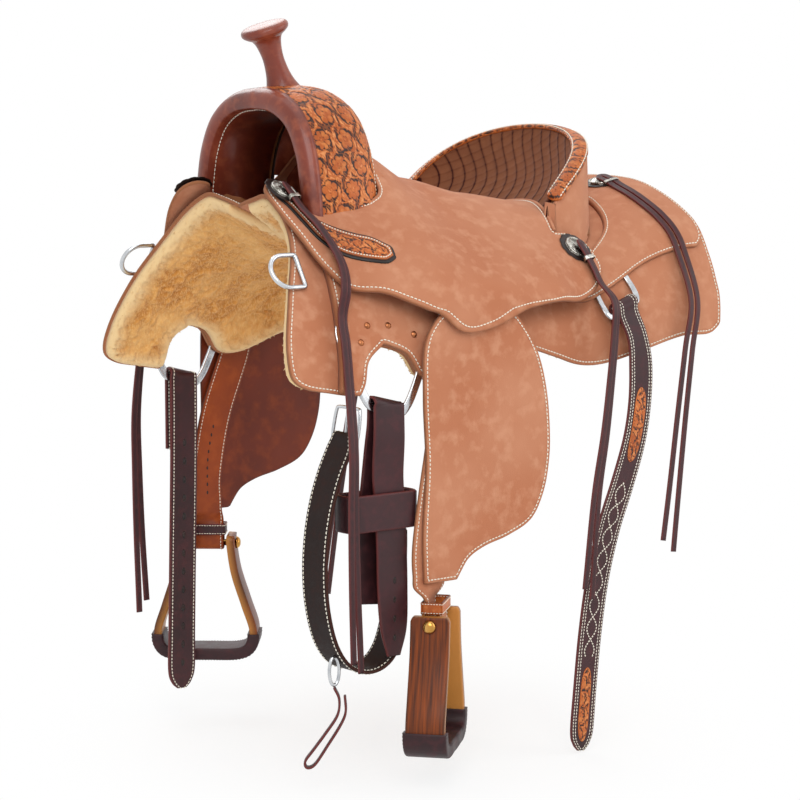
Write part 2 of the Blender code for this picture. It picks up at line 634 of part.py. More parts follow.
def cantle(heights):
    turns = [math.sin(v * math.pi / 2) * 0.5 + v * 0.5 for v in np.linspace(-0.97, 0.97, 21)]
    dish_rows = [0.0, 0.3, 0.62, 1.0]
    def dish(turn, share, deeper):
        top, out = cantle_line(turn, 0.010, 0.006)
        foot = welt_line(turn)
        place = foot + (top - foot) * share
        sag = 0.010 * math.cos(turn * math.pi / 2) * 4 * share * (1 - share)
        back = out * 0.82 + np.array([0, 0, -0.57])
        return place + back * (sag + deeper)
    rings = []
    for turn in turns:
        face = [dish(turn, s, 0.0) for s in dish_rows]
        behind = [dish(turn, s, INLAY_THICK) for s in reversed(dish_rows)]
        rings.append(face + behind)
    inlay = swept("seat_inlay", rings, "inlay")
    rings, back_rings = [], []
    for turn in turns:
        face = [dish(turn, s, INLAY_THICK + 2 * GAP) for s in reversed(dish_rows)]
        thick = 0.004 + 0.010 * math.cos(turn * math.pi / 2) ** 0.5
        rim, out = cantle_line(turn, 0.010, 0.006)
        top_back = face[0] + out * thick + np.array([0, 0, 0.0005])
        low_back = top_back + out * 0.004
        low_front = np.array(face[-1])
        low_back[2] = low_front[2] = 0.0
        rings.append([*face, low_front, low_back, top_back])
        a, b = top_back + out * 2 * GAP, low_back + out * 2 * GAP
        c, d = b + out * CANTLE_BACK_THICK, a + out * CANTLE_BACK_THICK
        back_rings.append([a, b, c, d])
    tree = swept("tree_cantle", rings, "wood")
    back = swept("cantle_back", back_rings, "roughout")
    under = draped("cantle_foot", both_sides([(0.08, 0.0), (0.08, 0.21), (0.30, 0.21), (0.30, 0.0)]),
                   -0.08, lambda x, t: BAR_THICK + GAP + 0.75 * max(abs(t) - 0.12, 0.0))
    grown = inset(both_sides(SEAT_OUTLINE + WELT_OUTLINE), -0.0009)
    seat_room = draped("seat_room", grown, -0.01, heights + 0.03)
    for thing in (inlay, tree, back):
        cut(thing, seat_room)
    for thing in (tree, inlay):
        cut(thing, under)
    housing_room = draped("housing_room", inset(both_sides(HOUSING_OUTLINE), -0.0006), -0.08, 0.06)
    cut(back, under)
    cut(back, housing_room)
    cut(tree, housing_room)
    path, sides = [], []
    for turn in turns:
        rim, out = cantle_line(turn, -0.002, 0.0)
        path.append(rim)
        sides.append(out + np.array([0, 0, -0.15]))
    rings = []
    ahead = np.gradient(np.array(path), axis=0)
    for rim, way, side in zip(path, ahead, sides):
        way = way / np.linalg.norm(way)
        side = side - way * (side @ way)
        side /= np.linalg.norm(side)
        up = np.cross(side, way)
        up = up if up[2] > 0 else -up
        ring = []
        for k in range(8):
            a = 2 * math.pi * (k + 0.5) / 8
            ring.append(rim + side * math.cos(a) * BINDING_WIDE / 2 + up * (math.sin(a) * BINDING_THICK / 2))
        rings.append(ring)
    swept("cantle_binding", rings, "tooled")


def housing():
    return draped("rear_housing", both_sides(HOUSING_OUTLINE), 0.0, HOUSING_THICK, "roughout")


def front_patch(side_name, side, heights):
    draped(f"front_patch_{side_name}", mirrored(PATCH_OUTLINE, side), heights + GAP,
           heights + GAP + PATCH_THICK, "tooled")


def surface(x, t, heights, more):
    # Point above the form and the way out of it
    grid = form.raised((heights if isinstance(heights, np.ndarray) else grid_of(heights)) + more)
    base = form.raised(grid_of(0.0))
    e = 0.006
    place = form.at(grid, x, t)
    way_x = form.at(grid, x + e, t) - form.at(grid, x - e, t)
    way_t = form.at(grid, x, t + e) - form.at(grid, x, t - e)
    out = np.cross(way_x, way_t)
    out /= np.linalg.norm(out)
    if (place - form.at(base, x, t)) @ out < 0:
        out = -out
    return place, out


def concho(name, x, t, heights, lift, side):
    place, out = surface(x, side * t, heights, lift)
    r = CONCHO_RADIUS
    profile = [(0.0, 0.0055), (r * 0.35, 0.0050), (r * 0.7, 0.0036), (r * 0.88, 0.0030), (r, 0.0022),
               (r, 0.0006), (r * 0.9, 0.0), (0.0, 0.0)]
    turned(name, profile, place + out * 0.0009, out, 16, "steel")


def fender(side_name, side, pivot):
    # A flat leather whose outline widens below the jockey and narrows to the stirrup leather
    dx = STIRRUP_AT[side_name][0] - STIRRUP_AT["near"][0]
    drop = BOLT_HEIGHT[side_name] - BOLT_HEIGHT["near"]
    outline = [(-0.122, -0.048), (-0.075, -0.042), (-0.020, -0.050), (0.008, -0.075), (0.030, -0.11),
               (0.043, -0.15), (0.050, -0.20), (0.050, -0.245), (0.040, -0.29), (0.020, -0.322),
               (-0.02, -0.340), (-0.06, -0.350), (-0.085, -0.362), (-0.098, -0.378), (-0.104, -0.387),
               (-0.156, -0.387), (-0.158, -0.33), (-0.153, -0.24), (-0.157, -0.15), (-0.152, -0.08)]
    points = []
    for x, z in outline:
        low = ease((-0.05 - z) / 0.33)
        points.append((x + dx * low, z + drop * low))
    curve = bpy.data.curves.new(f"fender_{side_name}", "CURVE")
    curve.dimensions = "2D"
    curve.fill_mode = "BOTH"
    curve.extrude = FENDER_THICK / 2
    spline = curve.splines.new("POLY")
    spline.points.add(len(points) - 1)
    for knot, (x, z) in zip(spline.points, points):
        knot.co = (x, z, 0, 1)
    spline.use_cyclic_u = True
    thing = new_object(f"fender_{side_name}", curve, "roughout" if side < 0 else "russet")
    thing.matrix_world = Matrix.Translation((0, side * FENDER_Y, 0)) @ Matrix.Rotation(math.pi / 2, 4, "X")
    return thing


def tread_way(side):
    # Along the tread, from the outer post to the inner one
    return np.array([math.cos(STIRRUP_TWIST), -side * math.sin(STIRRUP_TWIST), 0])


def stirrup_leather(side_name, side):
    # Down inside the fender, turning to the tread's direction, round the bolt and up again
    x_bolt, y_bolt = STIRRUP_AT[side_name]
    z_bolt = BOLT_HEIGHT[side_name]
    loop_radius = BOLT_RADIUS + 0.0006 + LEATHER_THICK / 2
    flat = np.array([1.0, 0, 0])
    tread = tread_way(side)
    face = np.array([-tread[1], tread[0], 0]) * side
    x_low = x_bolt - face[0] * loop_radius
    straight_from = z_bolt + 0.10
    path, across = [], []
    for z, share in ((-0.056, 0.0), (-0.13, 0.0), (-0.22, 0.0), (straight_from, 0.0), (z_bolt + 0.048, 0.0),
                     (z_bolt + 0.042, 0.0), (z_bolt + 0.035, 0.5), (z_bolt + 0.029, 1.0),
                     (z_bolt + 0.010, 1.0)):
        down = ease((-0.056 - z) / (-0.056 - straight_from))
        high = np.array([LEATHER_TOP_X + (x_low - LEATHER_TOP_X) * down, side * LEATHER_Y, z])
        low = np.array([x_bolt, side * y_bolt, z]) - face * loop_radius
        path.append(high * (1 - share) + low * share)
        across.append(flat * (1 - share) + tread * share)
    middle = np.array([x_bolt, side * y_bolt, z_bolt])
    for a in np.linspace(0, math.pi, 7):
        path.append(middle - face * loop_radius * math.cos(a) - np.array([0, 0, loop_radius * math.sin(a)]))
        across.append(tread)
    path.append(middle + face * loop_radius + np.array([0, 0, 0.016]))
    across.append(tread)
    return ribbon(f"stirrup_leather_{side_name}", path, across, LEATHER_WIDE, LEATHER_THICK,
                  "roughout" if side < 0 else "russet")


def hobble_strap(side_name, side):
    # The tooled band that holds the leathers together above the stirrup
    x_bolt, y_bolt = STIRRUP_AT[side_name]
    z = BOLT_HEIGHT[side_name] + 0.0201
    tread = tread_way(side)
    face = np.array([-tread[1], tread[0], 0]) * side
    loop_radius = BOLT_RADIUS + 0.0006 + LEATHER_THICK
    half_wide, half_deep = LEATHER_WIDE / 2 + 0.0006, loop_radius + 0.0018
    thick = 0.0025
    rings = []
    corners = [(-1, -1), (1, -1), (1, 1), (-1, 1)]
    for grow in (0.0, thick):
        for low in (-0.008, 0.008):
            rings.append([np.array([x_bolt, side * y_bolt, z + low]) + tread * a * (half_wide + grow)
                          + face * b * (half_deep + grow) for a, b in corners])
    ordered = [rings[0], rings[1], rings[3], rings[2]]
    loop = [[ring[k] for ring in ordered] for k in range(4)]
    return swept(f"hobble_strap_{side_name}", loop, "tooled" if side < 0 else "burgundy", round_trip=True)


def stirrup_path():
    top = STIRRUP_INSIDE_TOP / 2 + STIRRUP_WOOD / 2
    half = [(top - 0.001, 0.0115), (top, 0.0), (top + 0.006, -0.040), (top + 0.020, -0.085),
            (top + 0.031, -0.120), (top + 0.028, -0.143), (top + 0.010, -0.1535), (0.0, -0.1545)]
    line = smooth_line(half, 2)
    return np.vstack([line * (-1, 1), line[-2::-1]])


def placed(side_name, side, a, b, c):
    # A point from the stirrup's own directions: along the tread, through the window, up
    tread = tread_way(side)
    face = np.array([-tread[1], tread[0], 0]) * side
    x, y = STIRRUP_AT[side_name]
    return np.array([x, side * y, BOLT_HEIGHT[side_name]]) + tread * a + face * b + np.array([0, 0, c])


def band(side_name, side, name, line, deep, thick, finish):
    line = np.array(line)
    ahead = np.gradient(line, axis=0)
    ahead /= np.linalg.norm(ahead, axis=1)[:, None]
    rings = []
    for (a, c), (da, dc) in zip(line, ahead):
        rings.append([placed(side_name, side, a - dc * s * thick / 2, b * deep / 2, c + da * s * thick / 2)
                      for b, s in ((-1, -1), (1, -1), (1, 1), (-1, 1))])
    return swept(name, rings, finish)


def stirrup(side_name, side):
    line = stirrup_path()
    wood = band(side_name, side, f"stirrup_{side_name}", line, STIRRUP_DEEP, STIRRUP_WOOD, "wood")
    tread = tread_way(side)
    grip = STIRRUP_INSIDE_TOP / 2 + STIRRUP_WOOD
    middle = placed(side_name, side, 0, 0, 0)
    bore = turned(f"bolt_hole_{side_name}", [(0, 0.06), (BOLT_RADIUS + GAP, 0.06), (BOLT_RADIUS + GAP, -0.06),
                                             (0, -0.06)], middle, tread, 12, None)
    cut(wood, bore)
    end = grip + 0.0012
    r = BOLT_RADIUS
    profile = [(0, end + 0.006), (0.005, end + 0.0052), (0.0085, end + 0.002), (0.0085, end), (r, end),
               (r, -end), (0.0085, -end), (0.0085, -end - 0.002), (0.005, -end - 0.0052), (0, -end - 0.006)]
    bolt = turned(f"stirrup_bolt_{side_name}", profile, middle, tread, 12, "brass")
    keep = [k for k, (a, c) in enumerate(line) if c < -0.125]
    low = line[keep[0]:keep[-1] + 1]
    skin = 0.0035
    outer = band(side_name, side, f"stirrup_tread_{side_name}", low, STIRRUP_DEEP + 2 * skin,
                 STIRRUP_WOOD + 2 * skin, "burgundy")
    inner = band(side_name, side, f"tread_room_{side_name}", line, STIRRUP_DEEP + 2 * GAP,
                 STIRRUP_WOOD + 2 * GAP, None)
    cut(outer, inner)
    return [wood, bolt, outer]


def thongs(name, route):
    # One long thong doubled over below its concho: both halves follow the route, side by side
    places = smooth_line([p for p, _ in route], 2)
    outs = smooth_line([o for _, o in route], 2)
    run = lengths(places)
    run /= run[-1]
    ahead = np.gradient(places, axis=0)
    ahead /= np.linalg.norm(ahead, axis=1)[:, None]
    apart = (STRING_WIDE + 0.0016) / 2
    ways = np.cross(ahead, outs)
    ways /= np.linalg.norm(ways, axis=1)[:, None]
    one = [p + w * (apart + 0.006 * r ** 2) for p, w, r in zip(places, ways, run)]
    two = [p - w * (apart + 0.003 * r ** 2) for p, w, r in zip(places, ways, run)]
    two[-1] = two[-1] - np.array([0, 0, 0.014])
    angles = (0.52, 1.05, 1.57, 2.09, 2.62)
    bend = [places[0] - ahead[0] * apart * math.sin(a) + ways[0] * apart * math.cos(a) for a in angles]
    path = [*one[::-1], *bend, *two]
    across = [*ways[::-1], *[ways[0] * math.cos(a) - ahead[0] * math.sin(a) for a in angles], *(-ways)]
    return ribbon(name, path, across, STRING_WIDE, STRING_THICK, "burgundy")


def strings(side_name, side, heights):
    # Three pairs a side: at the fork, at the cantle's corner and behind the cantle
    def lying(points, over, lift):
        return [surface(x, side * t, over, lift) for x, t in points]

    def hanging(points):
        return [((x, side * y, z), (0, side, 0)) for x, y, z in points]
    front = lying([(-0.2590, 0.129), (-0.2510, 0.150), (-0.2450, 0.180), (-0.2440, 0.210)], heights,
                  PATCH_THICK + 0.0042)
    front += lying([(-0.2500, 0.240)], heights, 0.0052)
    front += lying([(-0.2560, 0.270), (-0.2600, 0.305), (-0.2630, 0.345)], PLATE_THICK, 0.0028)
    front += hanging([(-0.265, 0.2430, -0.210), (-0.265, 0.2430, -0.290), (-0.263, 0.2430, -0.380),
                      (-0.259, 0.2430, -0.472)])
    thongs(f"front_strings_{side_name}", front)
    corner = lying([(0.1475, 0.2165), (0.1500, 0.232)], heights, 0.0036)
    if side < 0:
        ends = [(0.150, 0.2585, -0.050), (0.147, 0.2620, -0.090), (0.138, 0.2650, -0.150),
                (0.126, 0.2680, -0.220), (0.112, 0.2680, -0.300), (0.100, 0.2680, -0.420)]
    else:
        ends = [(0.150, 0.2585, -0.050), (0.146, 0.2610, -0.090), (0.132, 0.2620, -0.170),
                (0.112, 0.2640, -0.270), (0.090, 0.2640, -0.380), (0.068, 0.2640, -0.505)]
    thongs(f"cantle_strings_{side_name}", corner + hanging(ends))
    rear = lying([(0.3130, 0.090), (0.311, 0.120), (0.310, 0.150), (0.310, 0.180), (0.312, 0.210),
                  (0.313, 0.240)], HOUSING_THICK, 0.0029)
    rear += hanging([(0.308, 0.2480, -0.055), (0.294, 0.2530, -0.120), (0.279, 0.2560, -0.210),
                     (0.266, 0.2580, -0.300), (0.254, 0.2600, -0.375)])
    thongs(f"rear_strings_{side_name}", rear)


def conchos(side_name, side, heights):
    concho(f"front_concho_{side_name}", *FRONT_CONCHO, heights, PATCH_THICK + GAP, side)
    concho(f"cantle_concho_{side_name}", *CANTLE_CONCHO, heights, 0.0, side)
    concho(f"rear_concho_{side_name}", *REAR_CONCHO, HOUSING_THICK, 0.0, side)


def ring_height(x, t):
    # The rear ring leaves the skirt below the housing, so that a strap can pass behind it
    return GAP + 0.0076 * max(0.0, (abs(t) - 0.240) / 0.030)


def rear_ring(side_name, side, house):
    loop = mirrored(REAR_RING_OUTER, side)
    draped(f"rear_rig_ring_{side_name}", loop, ring_height,
           lambda x, t: ring_height(x, t) + REAR_RING_THICK, "steel", hole=inset(loop, REAR_RING_BAND))
    pocket = draped(f"ring_pocket_{side_name}", inset(loop, -0.001), -0.004, REAR_RING_THICK + 2 * GAP,
                    hole=inset(loop, REAR_RING_BAND + 0.001))
    cut(house, pocket)


def breast_dee(side_name, side):
    # Its bar lies on the skirt's front edge and its bow reaches forward
    x, t = BREAST_DEE_AT
    place, out = surface(x, side * t, 0.0, 0.0)
    down = surface(x, side * (t + 0.004), 0.0, 0.0)[0] - surface(x, side * (t - 0.004), 0.0, 0.0)[0]
    down /= np.linalg.norm(down)
    ahead = np.cross(out, down)
    ahead = ahead if ahead[0] < 0 else -ahead
    base = place + out * (BREAST_DEE_WIRE + 0.0001)
    half = BREAST_DEE_WIDE / 2
    arm = BREAST_DEE_LONG - half
    flat = [(-half, 0), (half, 0), (half, arm * 0.6)]
    flat += [(half * math.cos(a), arm + half * math.sin(a)) for a in np.linspace(0, math.pi, 9)]
    flat += [(-half, arm * 0.6)]
    points = [Vector(down * a + ahead * b) for a, b in flat]
    ring = wire_loop(f"breast_dee_{side_name}", points, BREAST_DEE_WIRE, "steel")
    pivot = bpy.data.objects.new(f"breast_dee_axis_{side_name}", None)
    pivot.location = base
    parts.objects.link(pivot)
    ring.parent = pivot


def over_bar(outer_leg, inner_leg, bar, turn, x, side):
    # Strap in a plane across X: up outside a flat bar, over its upper edge and down behind it
    bar_y, edge = bar
    arc = [(x, side * (bar_y + turn * math.cos(a)), edge + turn * math.sin(a))
           for a in np.linspace(0, math.pi, 7)]
    return [*outer_leg, *arc, *inner_leg]


def bar_at(x, side, heights, thick, edge_t, low_t):
    # A dee's lower bar: its middle across, its upper edge, its half thickness and the way along it
    across, up = [], []
    for t in (edge_t, low_t):
        for lift in (0.0, thick):
            place = surface(x, side * t, heights, lift)[0]
            across.append(side * place[1])
            up.append(place[2])
    along = surface(x + 0.02, side * low_t, heights, 0.0)[0] - surface(x - 0.02, side * low_t, heights, 0.0)[0]
    along /= np.linalg.norm(along)
    return (min(across) + max(across)) / 2, max(up), (max(across) - min(across)) / 2, along


def front_bar(side):
    low = RIG_DEE_OUTER[5][1]
    return bar_at(RIG_DEE_OUTER[5][0], side, GAP, RIG_DEE_THICK, low - RIG_DEE_BAND, low)


def off_billet():
    bar_y, edge, half, along = front_bar(1)
    turn = half + STRAP_THICK / 2 + 0.0018
    x, outer, inner = RIG_DEE_OUTER[5][0], bar_y + turn, bar_y - turn
    short = [(x, outer, -0.262), (x, outer, -0.215)]
    long = [(x, inner, -0.20), (-0.204, inner, -0.28), (-0.206, inner, -0.36), (-0.208, inner, -0.44),
            (-0.210, inner, -0.52), (-0.211, inner, -0.570), (-0.211, inner, -0.588), (-0.211, inner, -0.596)]
    path = over_bar(short, long, (bar_y, edge), turn, x, 1)
    wide = [STRAP_WIDE] * (len(path) - 2) + [STRAP_WIDE * 0.72, STRAP_WIDE * 0.35]
    strap = ribbon("off_billet_far", path, along, wide, STRAP_THICK, "burgundy")
    hang_on([strap], "off_billet_axis", (x, bar_y, edge))


def rear_billet():
    thick = 0.0038
    x, low_t = REAR_RING_OUTER[5]
    edge_t = low_t - REAR_RING_BAND
    bar_y, edge, half, along = bar_at(x, -1, grid_of(ring_height), REAR_RING_THICK, edge_t, low_t)
    turn = half + thick / 2 + 0.0018
    back = [surface(x, -t, 0.0, thick / 2 + 0.0013)[0] for t in (low_t + 0.001, low_t + 0.012)]
    upper = [(0.200, -0.2500, edge - 0.040), (0.192, -(bar_y + turn + 0.0005), edge - 0.012)]
    low = [(0.205, -0.2520, -0.135), (0.203, -0.2530, -0.185), (0.193, -0.2535, -0.235),
           (0.172, -0.2540, -0.290), (0.148, -0.2545, -0.345), (0.128, -0.2550, -0.410),
           (0.115, -0.2555, -0.480), (0.106, -0.2560, -0.555), (0.101, -0.2560, -0.610),
           (0.100, -0.2560, -0.628), (0.0995, -0.2560, -0.637)]
    path = over_bar([*low[::-1], *upper], back, (bar_y, edge), turn, x, -1)
    wide = [0.013, 0.029] + [0.040] * (len(path) - 13) + [0.034] * 11
    strap = ribbon("rear_billet_near", path, along, wide, thick, "burgundy")
    hang_on([strap], "rear_billet_axis", (x, -bar_y, edge))


def latigo():
    # The tie strap hangs doubled from the near dee and carries the folded flank cinch
    bar_y, edge, half, along = front_bar(-1)
    turn = half + STRAP_THICK / 2 + 0.0018
    x = RIG_DEE_OUTER[5][0]
    front = [(-0.191, -0.2274, -0.475), (-0.191, -0.2274, -0.440), (-0.193, -0.2274, -0.390),
             (-0.194, -0.2270, -0.340), (-0.196, -0.2262, -0.290), (-0.200, -0.2275, -0.248),
             (x, -bar_y - turn - 0.0004, -0.200)]
    back = [(x, -bar_y + turn + 0.0010, -0.190), (-0.203, -0.2130, -0.230), (-0.207, -0.2080, -0.290),
            (-0.214, -0.2070, -0.350), (-0.220, -0.2060, -0.410)]
    path = over_bar(front, back, (bar_y, edge), turn, x, -1)
    wide = [0.020, 0.040] + [STRAP_WIDE + 0.002] * (len(path) - 2)
    strap = ribbon("latigo_near", path, along, wide, STRAP_THICK, "burgundy")
    thick = 0.0042
    left, right, inner, outer = -0.2600, -0.1560, -0.1960, -0.2335
    bow = 0.012
    corners = []
    for cx, cy, start_angle in ((right - bow, inner - bow, 0), (left + bow, inner - bow, 90),
                                (left + bow, outer + bow, 180), (right - bow, outer + bow, 270)):
        for a in (0, 45, 90):
            angle = math.radians(start_angle + a)
            corners.append((cx + bow * math.cos(angle), cy + bow * math.sin(angle), -0.2925))
    wrap = ribbon("latigo_wrap", corners, (0, 0, 1), 0.046, thick, "burgundy", round_trip=True)
    bar = (-0.2445, -0.2010)
    turn = 0.0046
    fold = [(bar[0] + turn, bar[1] - 0.026), (bar[0] + turn, bar[1] - 0.010)]
    fold += [(bar[0] + turn * math.cos(a), bar[1] + turn * math.sin(a)) for a in np.linspace(0, math.pi, 6)]
    legs = [(-0.2540, -0.216), (-0.2680, -0.245), (-0.2800, -0.280), (-0.2880, -0.320), (-0.2910, -0.365),
            (-0.2870, -0.410), (-0.2750, -0.452), (-0.2550, -0.480), (-0.2280, -0.492), (-0.2010, -0.488),
            (-0.1820, -0.470), (-0.1720, -0.435), (-0.1660, -0.390), (-0.1625, -0.345), (-0.1625, -0.322)]
    deep = -0.1995
    path = [(px, deep, pz) for px, pz in fold + legs]
    wide = [0.040] * 8 + [0.050] * 11 + [0.044, 0.040, 0.036, 0.036]
    cinch = ribbon("flank_cinch", path, (0, 1, 0), wide, 0.0042, "burgundy")
    half = 0.025
    frame_points = [(0, -half, 0), (0, half, 0), (0.003, half, 0.018), (0.006, half - 0.004, 0.036),
                    (0.006, -half + 0.004, 0.036), (0.003, -half, 0.018)]
    buckle = wire_loop("cinch_buckle", [Vector((bar[0] + a, deep + b, bar[1] + c)) for a, b, c in frame_points],
                       0.0022, "steel")
    hang_on([strap, wrap, cinch, buckle], "latigo_axis", (x, -bar_y, edge))


def snap():
    # A small snap under the folded cinch, with the strap that links the two cinches
    x, y, z = SNAP_AT
    loop = [(x + 0.0075 * math.cos(a), y, z - 0.020 + 0.0175 * math.sin(a))
            for a in np.linspace(0, 2 * math.pi, 12, endpoint=False)]
    hook = wire_loop("cinch_snap", [Vector(p) for p in loop], 0.0022, "steel")
    top = z - 0.0385
    flat = [(0.000, 0.0), (0.006, -0.014), (0.004, -0.034), (-0.010, -0.056), (-0.026, -0.078),
            (-0.036, -0.092), (-0.034, -0.100), (-0.024, -0.096), (-0.008, -0.072), (0.008, -0.046),
            (0.014, -0.030), (0.013, -0.010)]
    line = smooth_line(flat, 2)
    path = [(x + a * 0.78, y - a * 0.62, top - 0.0020 + b) for a, b in line]
    strap = ribbon("cinch_hobble", path, (0.62, 0.78, 0), 0.011, 0.0030, "burgundy")
    hang_on([hook, strap], "snap_axis", (x, y, z))


def build():
    start()
    heights = seat_heights()
    for side_name, side in SIDES.items():
        skirts(side_name, side)
        rigging(side_name, side)
        tree_bars(side_name, side)
        front_patch(side_name, side, heights)
    room = fork()
    horn()
    seat(room, heights)
    cantle(heights)
    house = housing()
    for side_name, side in SIDES.items():
        pivot = (SWING_AT[0], side * FENDER_Y, SWING_AT[1])
        hung = [fender(side_name, side, pivot), stirrup_leather(side_name, side),
                hobble_strap(side_name, side)]
        hang_on(hung, f"fender_axis_{side_name}", pivot)
        hang_on(stirrup(side_name, side), f"stirrup_axis_{side_name}", placed(side_name, side, 0, 0, 0))
        rear_ring(side_name, side, house)
        breast_dee(side_name, side)
        conchos(side_name, side, heights)
        strings(side_name, side, heights)
    off_billet()
    rear_billet()
    latigo()
    snap()


build()
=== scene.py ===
import math

import bpy
import numpy as np
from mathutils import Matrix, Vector, geometry


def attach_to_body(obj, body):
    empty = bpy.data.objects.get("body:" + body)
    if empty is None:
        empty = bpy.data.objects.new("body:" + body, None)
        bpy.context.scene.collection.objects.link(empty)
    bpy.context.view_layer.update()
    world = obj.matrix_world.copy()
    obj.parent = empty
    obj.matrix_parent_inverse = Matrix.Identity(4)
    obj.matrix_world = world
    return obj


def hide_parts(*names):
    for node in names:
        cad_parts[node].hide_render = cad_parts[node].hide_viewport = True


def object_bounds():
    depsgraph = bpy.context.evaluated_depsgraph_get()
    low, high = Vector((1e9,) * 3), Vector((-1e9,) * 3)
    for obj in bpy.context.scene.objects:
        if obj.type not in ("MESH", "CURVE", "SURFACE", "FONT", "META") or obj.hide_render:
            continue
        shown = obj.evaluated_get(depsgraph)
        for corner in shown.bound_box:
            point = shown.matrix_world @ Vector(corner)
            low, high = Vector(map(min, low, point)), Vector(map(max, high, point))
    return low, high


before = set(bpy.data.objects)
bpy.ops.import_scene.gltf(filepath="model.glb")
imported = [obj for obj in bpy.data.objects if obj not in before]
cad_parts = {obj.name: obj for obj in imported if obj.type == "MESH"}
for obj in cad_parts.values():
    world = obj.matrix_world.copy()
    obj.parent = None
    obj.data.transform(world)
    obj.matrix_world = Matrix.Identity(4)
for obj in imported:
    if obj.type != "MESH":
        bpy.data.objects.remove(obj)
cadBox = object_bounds()

# ---- camera: the photograph's viewing angle, worked out from sizes in it
cameraView = {"azimuth": -38.5, "height": 6.5, "distance": 3.2, "lens": 106.65, "target": (0.0, 0.0, -0.19)}


def placeCamera(v):
    # stands on a sphere round the target: azimuth turns about Z from -Y, height lifts it
    a, e = math.radians(v["azimuth"]), math.radians(v["height"])
    back = Vector((math.sin(a) * math.cos(e), -math.cos(a) * math.cos(e), math.sin(e)))
    data = bpy.data.cameras.new("photoCamera")
    data.lens = v["lens"]
    data.sensor_width = 36
    camera = bpy.data.objects.new("photoCamera", data)
    camera.location = Vector(v["target"]) + back * v["distance"]
    camera.rotation_euler = back.to_track_quat("Z", "Y").to_euler()
    bpy.context.scene.collection.objects.link(camera)
    bpy.context.scene.camera = camera


placeCamera(cameraView)
print("camera placed")

# ---- materials


def toLinear(code):
    # sRGB hex to linear red, green, blue, alpha
    values = [int(code[k:k + 2], 16) / 255 for k in (1, 3, 5)]
    return [v / 12.92 if v <= 0.04045 else ((v + 0.055) / 1.055) ** 2.4 for v in values] + [1.0]


def addNode(tree, kind, values=None, links=None, **settings):
    # one node with its settings, the values of its sockets and what feeds them
    node = tree.nodes.new(kind)
    for key, value in settings.items():
        setattr(node, key, value)
    for socket, value in (values or {}).items():
        node.inputs[socket].default_value = value
    for socket, source in (links or {}).items():
        tree.links.new(source, node.inputs[socket])
    return node


def newMaterial(name, **values):
    # a node material, with values for the sockets of its shader
    material = bpy.data.materials.new(name)
    material.use_nodes = True
    shader = material.node_tree.nodes["Principled BSDF"]
    for socket, value in values.items():
        shader.inputs[socket].default_value = value
    return material, material.node_tree, shader


def mixColours(tree, share, first, second):
    # first * (1 - share) + second * share; a text stands for a colour
    node = addNode(tree, "ShaderNodeMix", data_type="RGBA")
    for index, source in ((0, share), (6, first), (7, second)):
        if isinstance(source, str):
            node.inputs[index].default_value = toLinear(source)
        else:
            tree.links.new(source, node.inputs[index])
    return node.outputs[2]


def stretched(tree, source, low, high):
    # a value between low and high spread over 0 to 1
    return addNode(tree, "ShaderNodeMapRange", {"From Min": low, "From Max": high},
                   {"Value": source}).outputs[0]


def cloudy(tree, where, scale, detail=3.0):
    # smooth noise round 0.5 at the given number of lumps a metre
    return addNode(tree, "ShaderNodeTexNoise", {"Scale": scale, "Detail": detail},
                   {"Vector": where}).outputs[0]


def leatherMaterial(name, v):
    # hide: broad mottling, a finer mottling and the grain or nap, darker and harder along cut edges
    material, tree, shader = newMaterial(name)
    where = addNode(tree, "ShaderNodeTexCoord").outputs["Object"]
    broad = stretched(tree, cloudy(tree, where, v["broad"]), 0.35, 0.65)
    fine = stretched(tree, cloudy(tree, where, v["fine"], 5.0), 0.3, 0.7)
    colour = mixColours(tree, broad, v["dark"], v["colour"])
    colour = mixColours(tree, stretched(tree, fine, 0.45, 1.4), colour, v["light"])
    edge = addNode(tree, "ShaderNodeAttribute", attribute_name="cutEdge").outputs["Fac"]
    colour = mixColours(tree, edge, colour, v["edge"])
    tree.links.new(colour, shader.inputs["Base Color"])
    rough = addNode(tree, "ShaderNodeMapRange", {"To Min": v["rough"] - 0.06, "To Max": v["rough"] + 0.06},
                    {"Value": fine})
    tree.links.new(rough.outputs[0], shader.inputs["Roughness"])
    grain = cloudy(tree, where, v["grain"], 2.0)
    crease = addNode(tree, "ShaderNodeTexVoronoi", {"Scale": v["grain"] * 0.6}, {"Vector": where},
                     feature="DISTANCE_TO_EDGE").outputs["Distance"]
    tall = addNode(tree, "ShaderNodeMath", {1: v["crease"]}, {0: crease}, operation="MULTIPLY").outputs[0]
    tall = addNode(tree, "ShaderNodeMath", None, {0: grain, 1: tall}, operation="ADD").outputs[0]
    bump = addNode(tree, "ShaderNodeBump", {"Strength": v["bump"], "Distance": 0.0006}, {"Height": tall})
    tree.links.new(bump.outputs[0], shader.inputs["Normal"])
    shader.inputs["Specular IOR Level"].default_value = v.get("shine", 0.3)
    shader.inputs["Coat Weight"].default_value = v.get("coat", 0.0)
    shader.inputs["Coat Roughness"].default_value = 0.15
    shader.inputs["Sheen Weight"].default_value = v.get("sheen", 0.0)
    shader.inputs["Sheen Roughness"].default_value = 0.5
    return material


def carvedMaterial(name, v):
    # vegetable tanned leather, carved and stamped: the sunk background is dyed nearly black
    material = leatherMaterial(name, v)
    tree = material.node_tree
    shader = tree.nodes["Principled BSDF"]
    base = shader.inputs["Base Color"].links[0].from_socket
    raised = addNode(tree, "ShaderNodeAttribute", attribute_name="carving").outputs["Fac"]
    tone = mixColours(tree, stretched(tree, raised, 0.30, 0.62), v["background"], base)
    tone = mixColours(tree, stretched(tree, raised, 0.85, 1.25), tone, v["high"])
    tree.links.new(tone, shader.inputs["Base Color"])
    return material


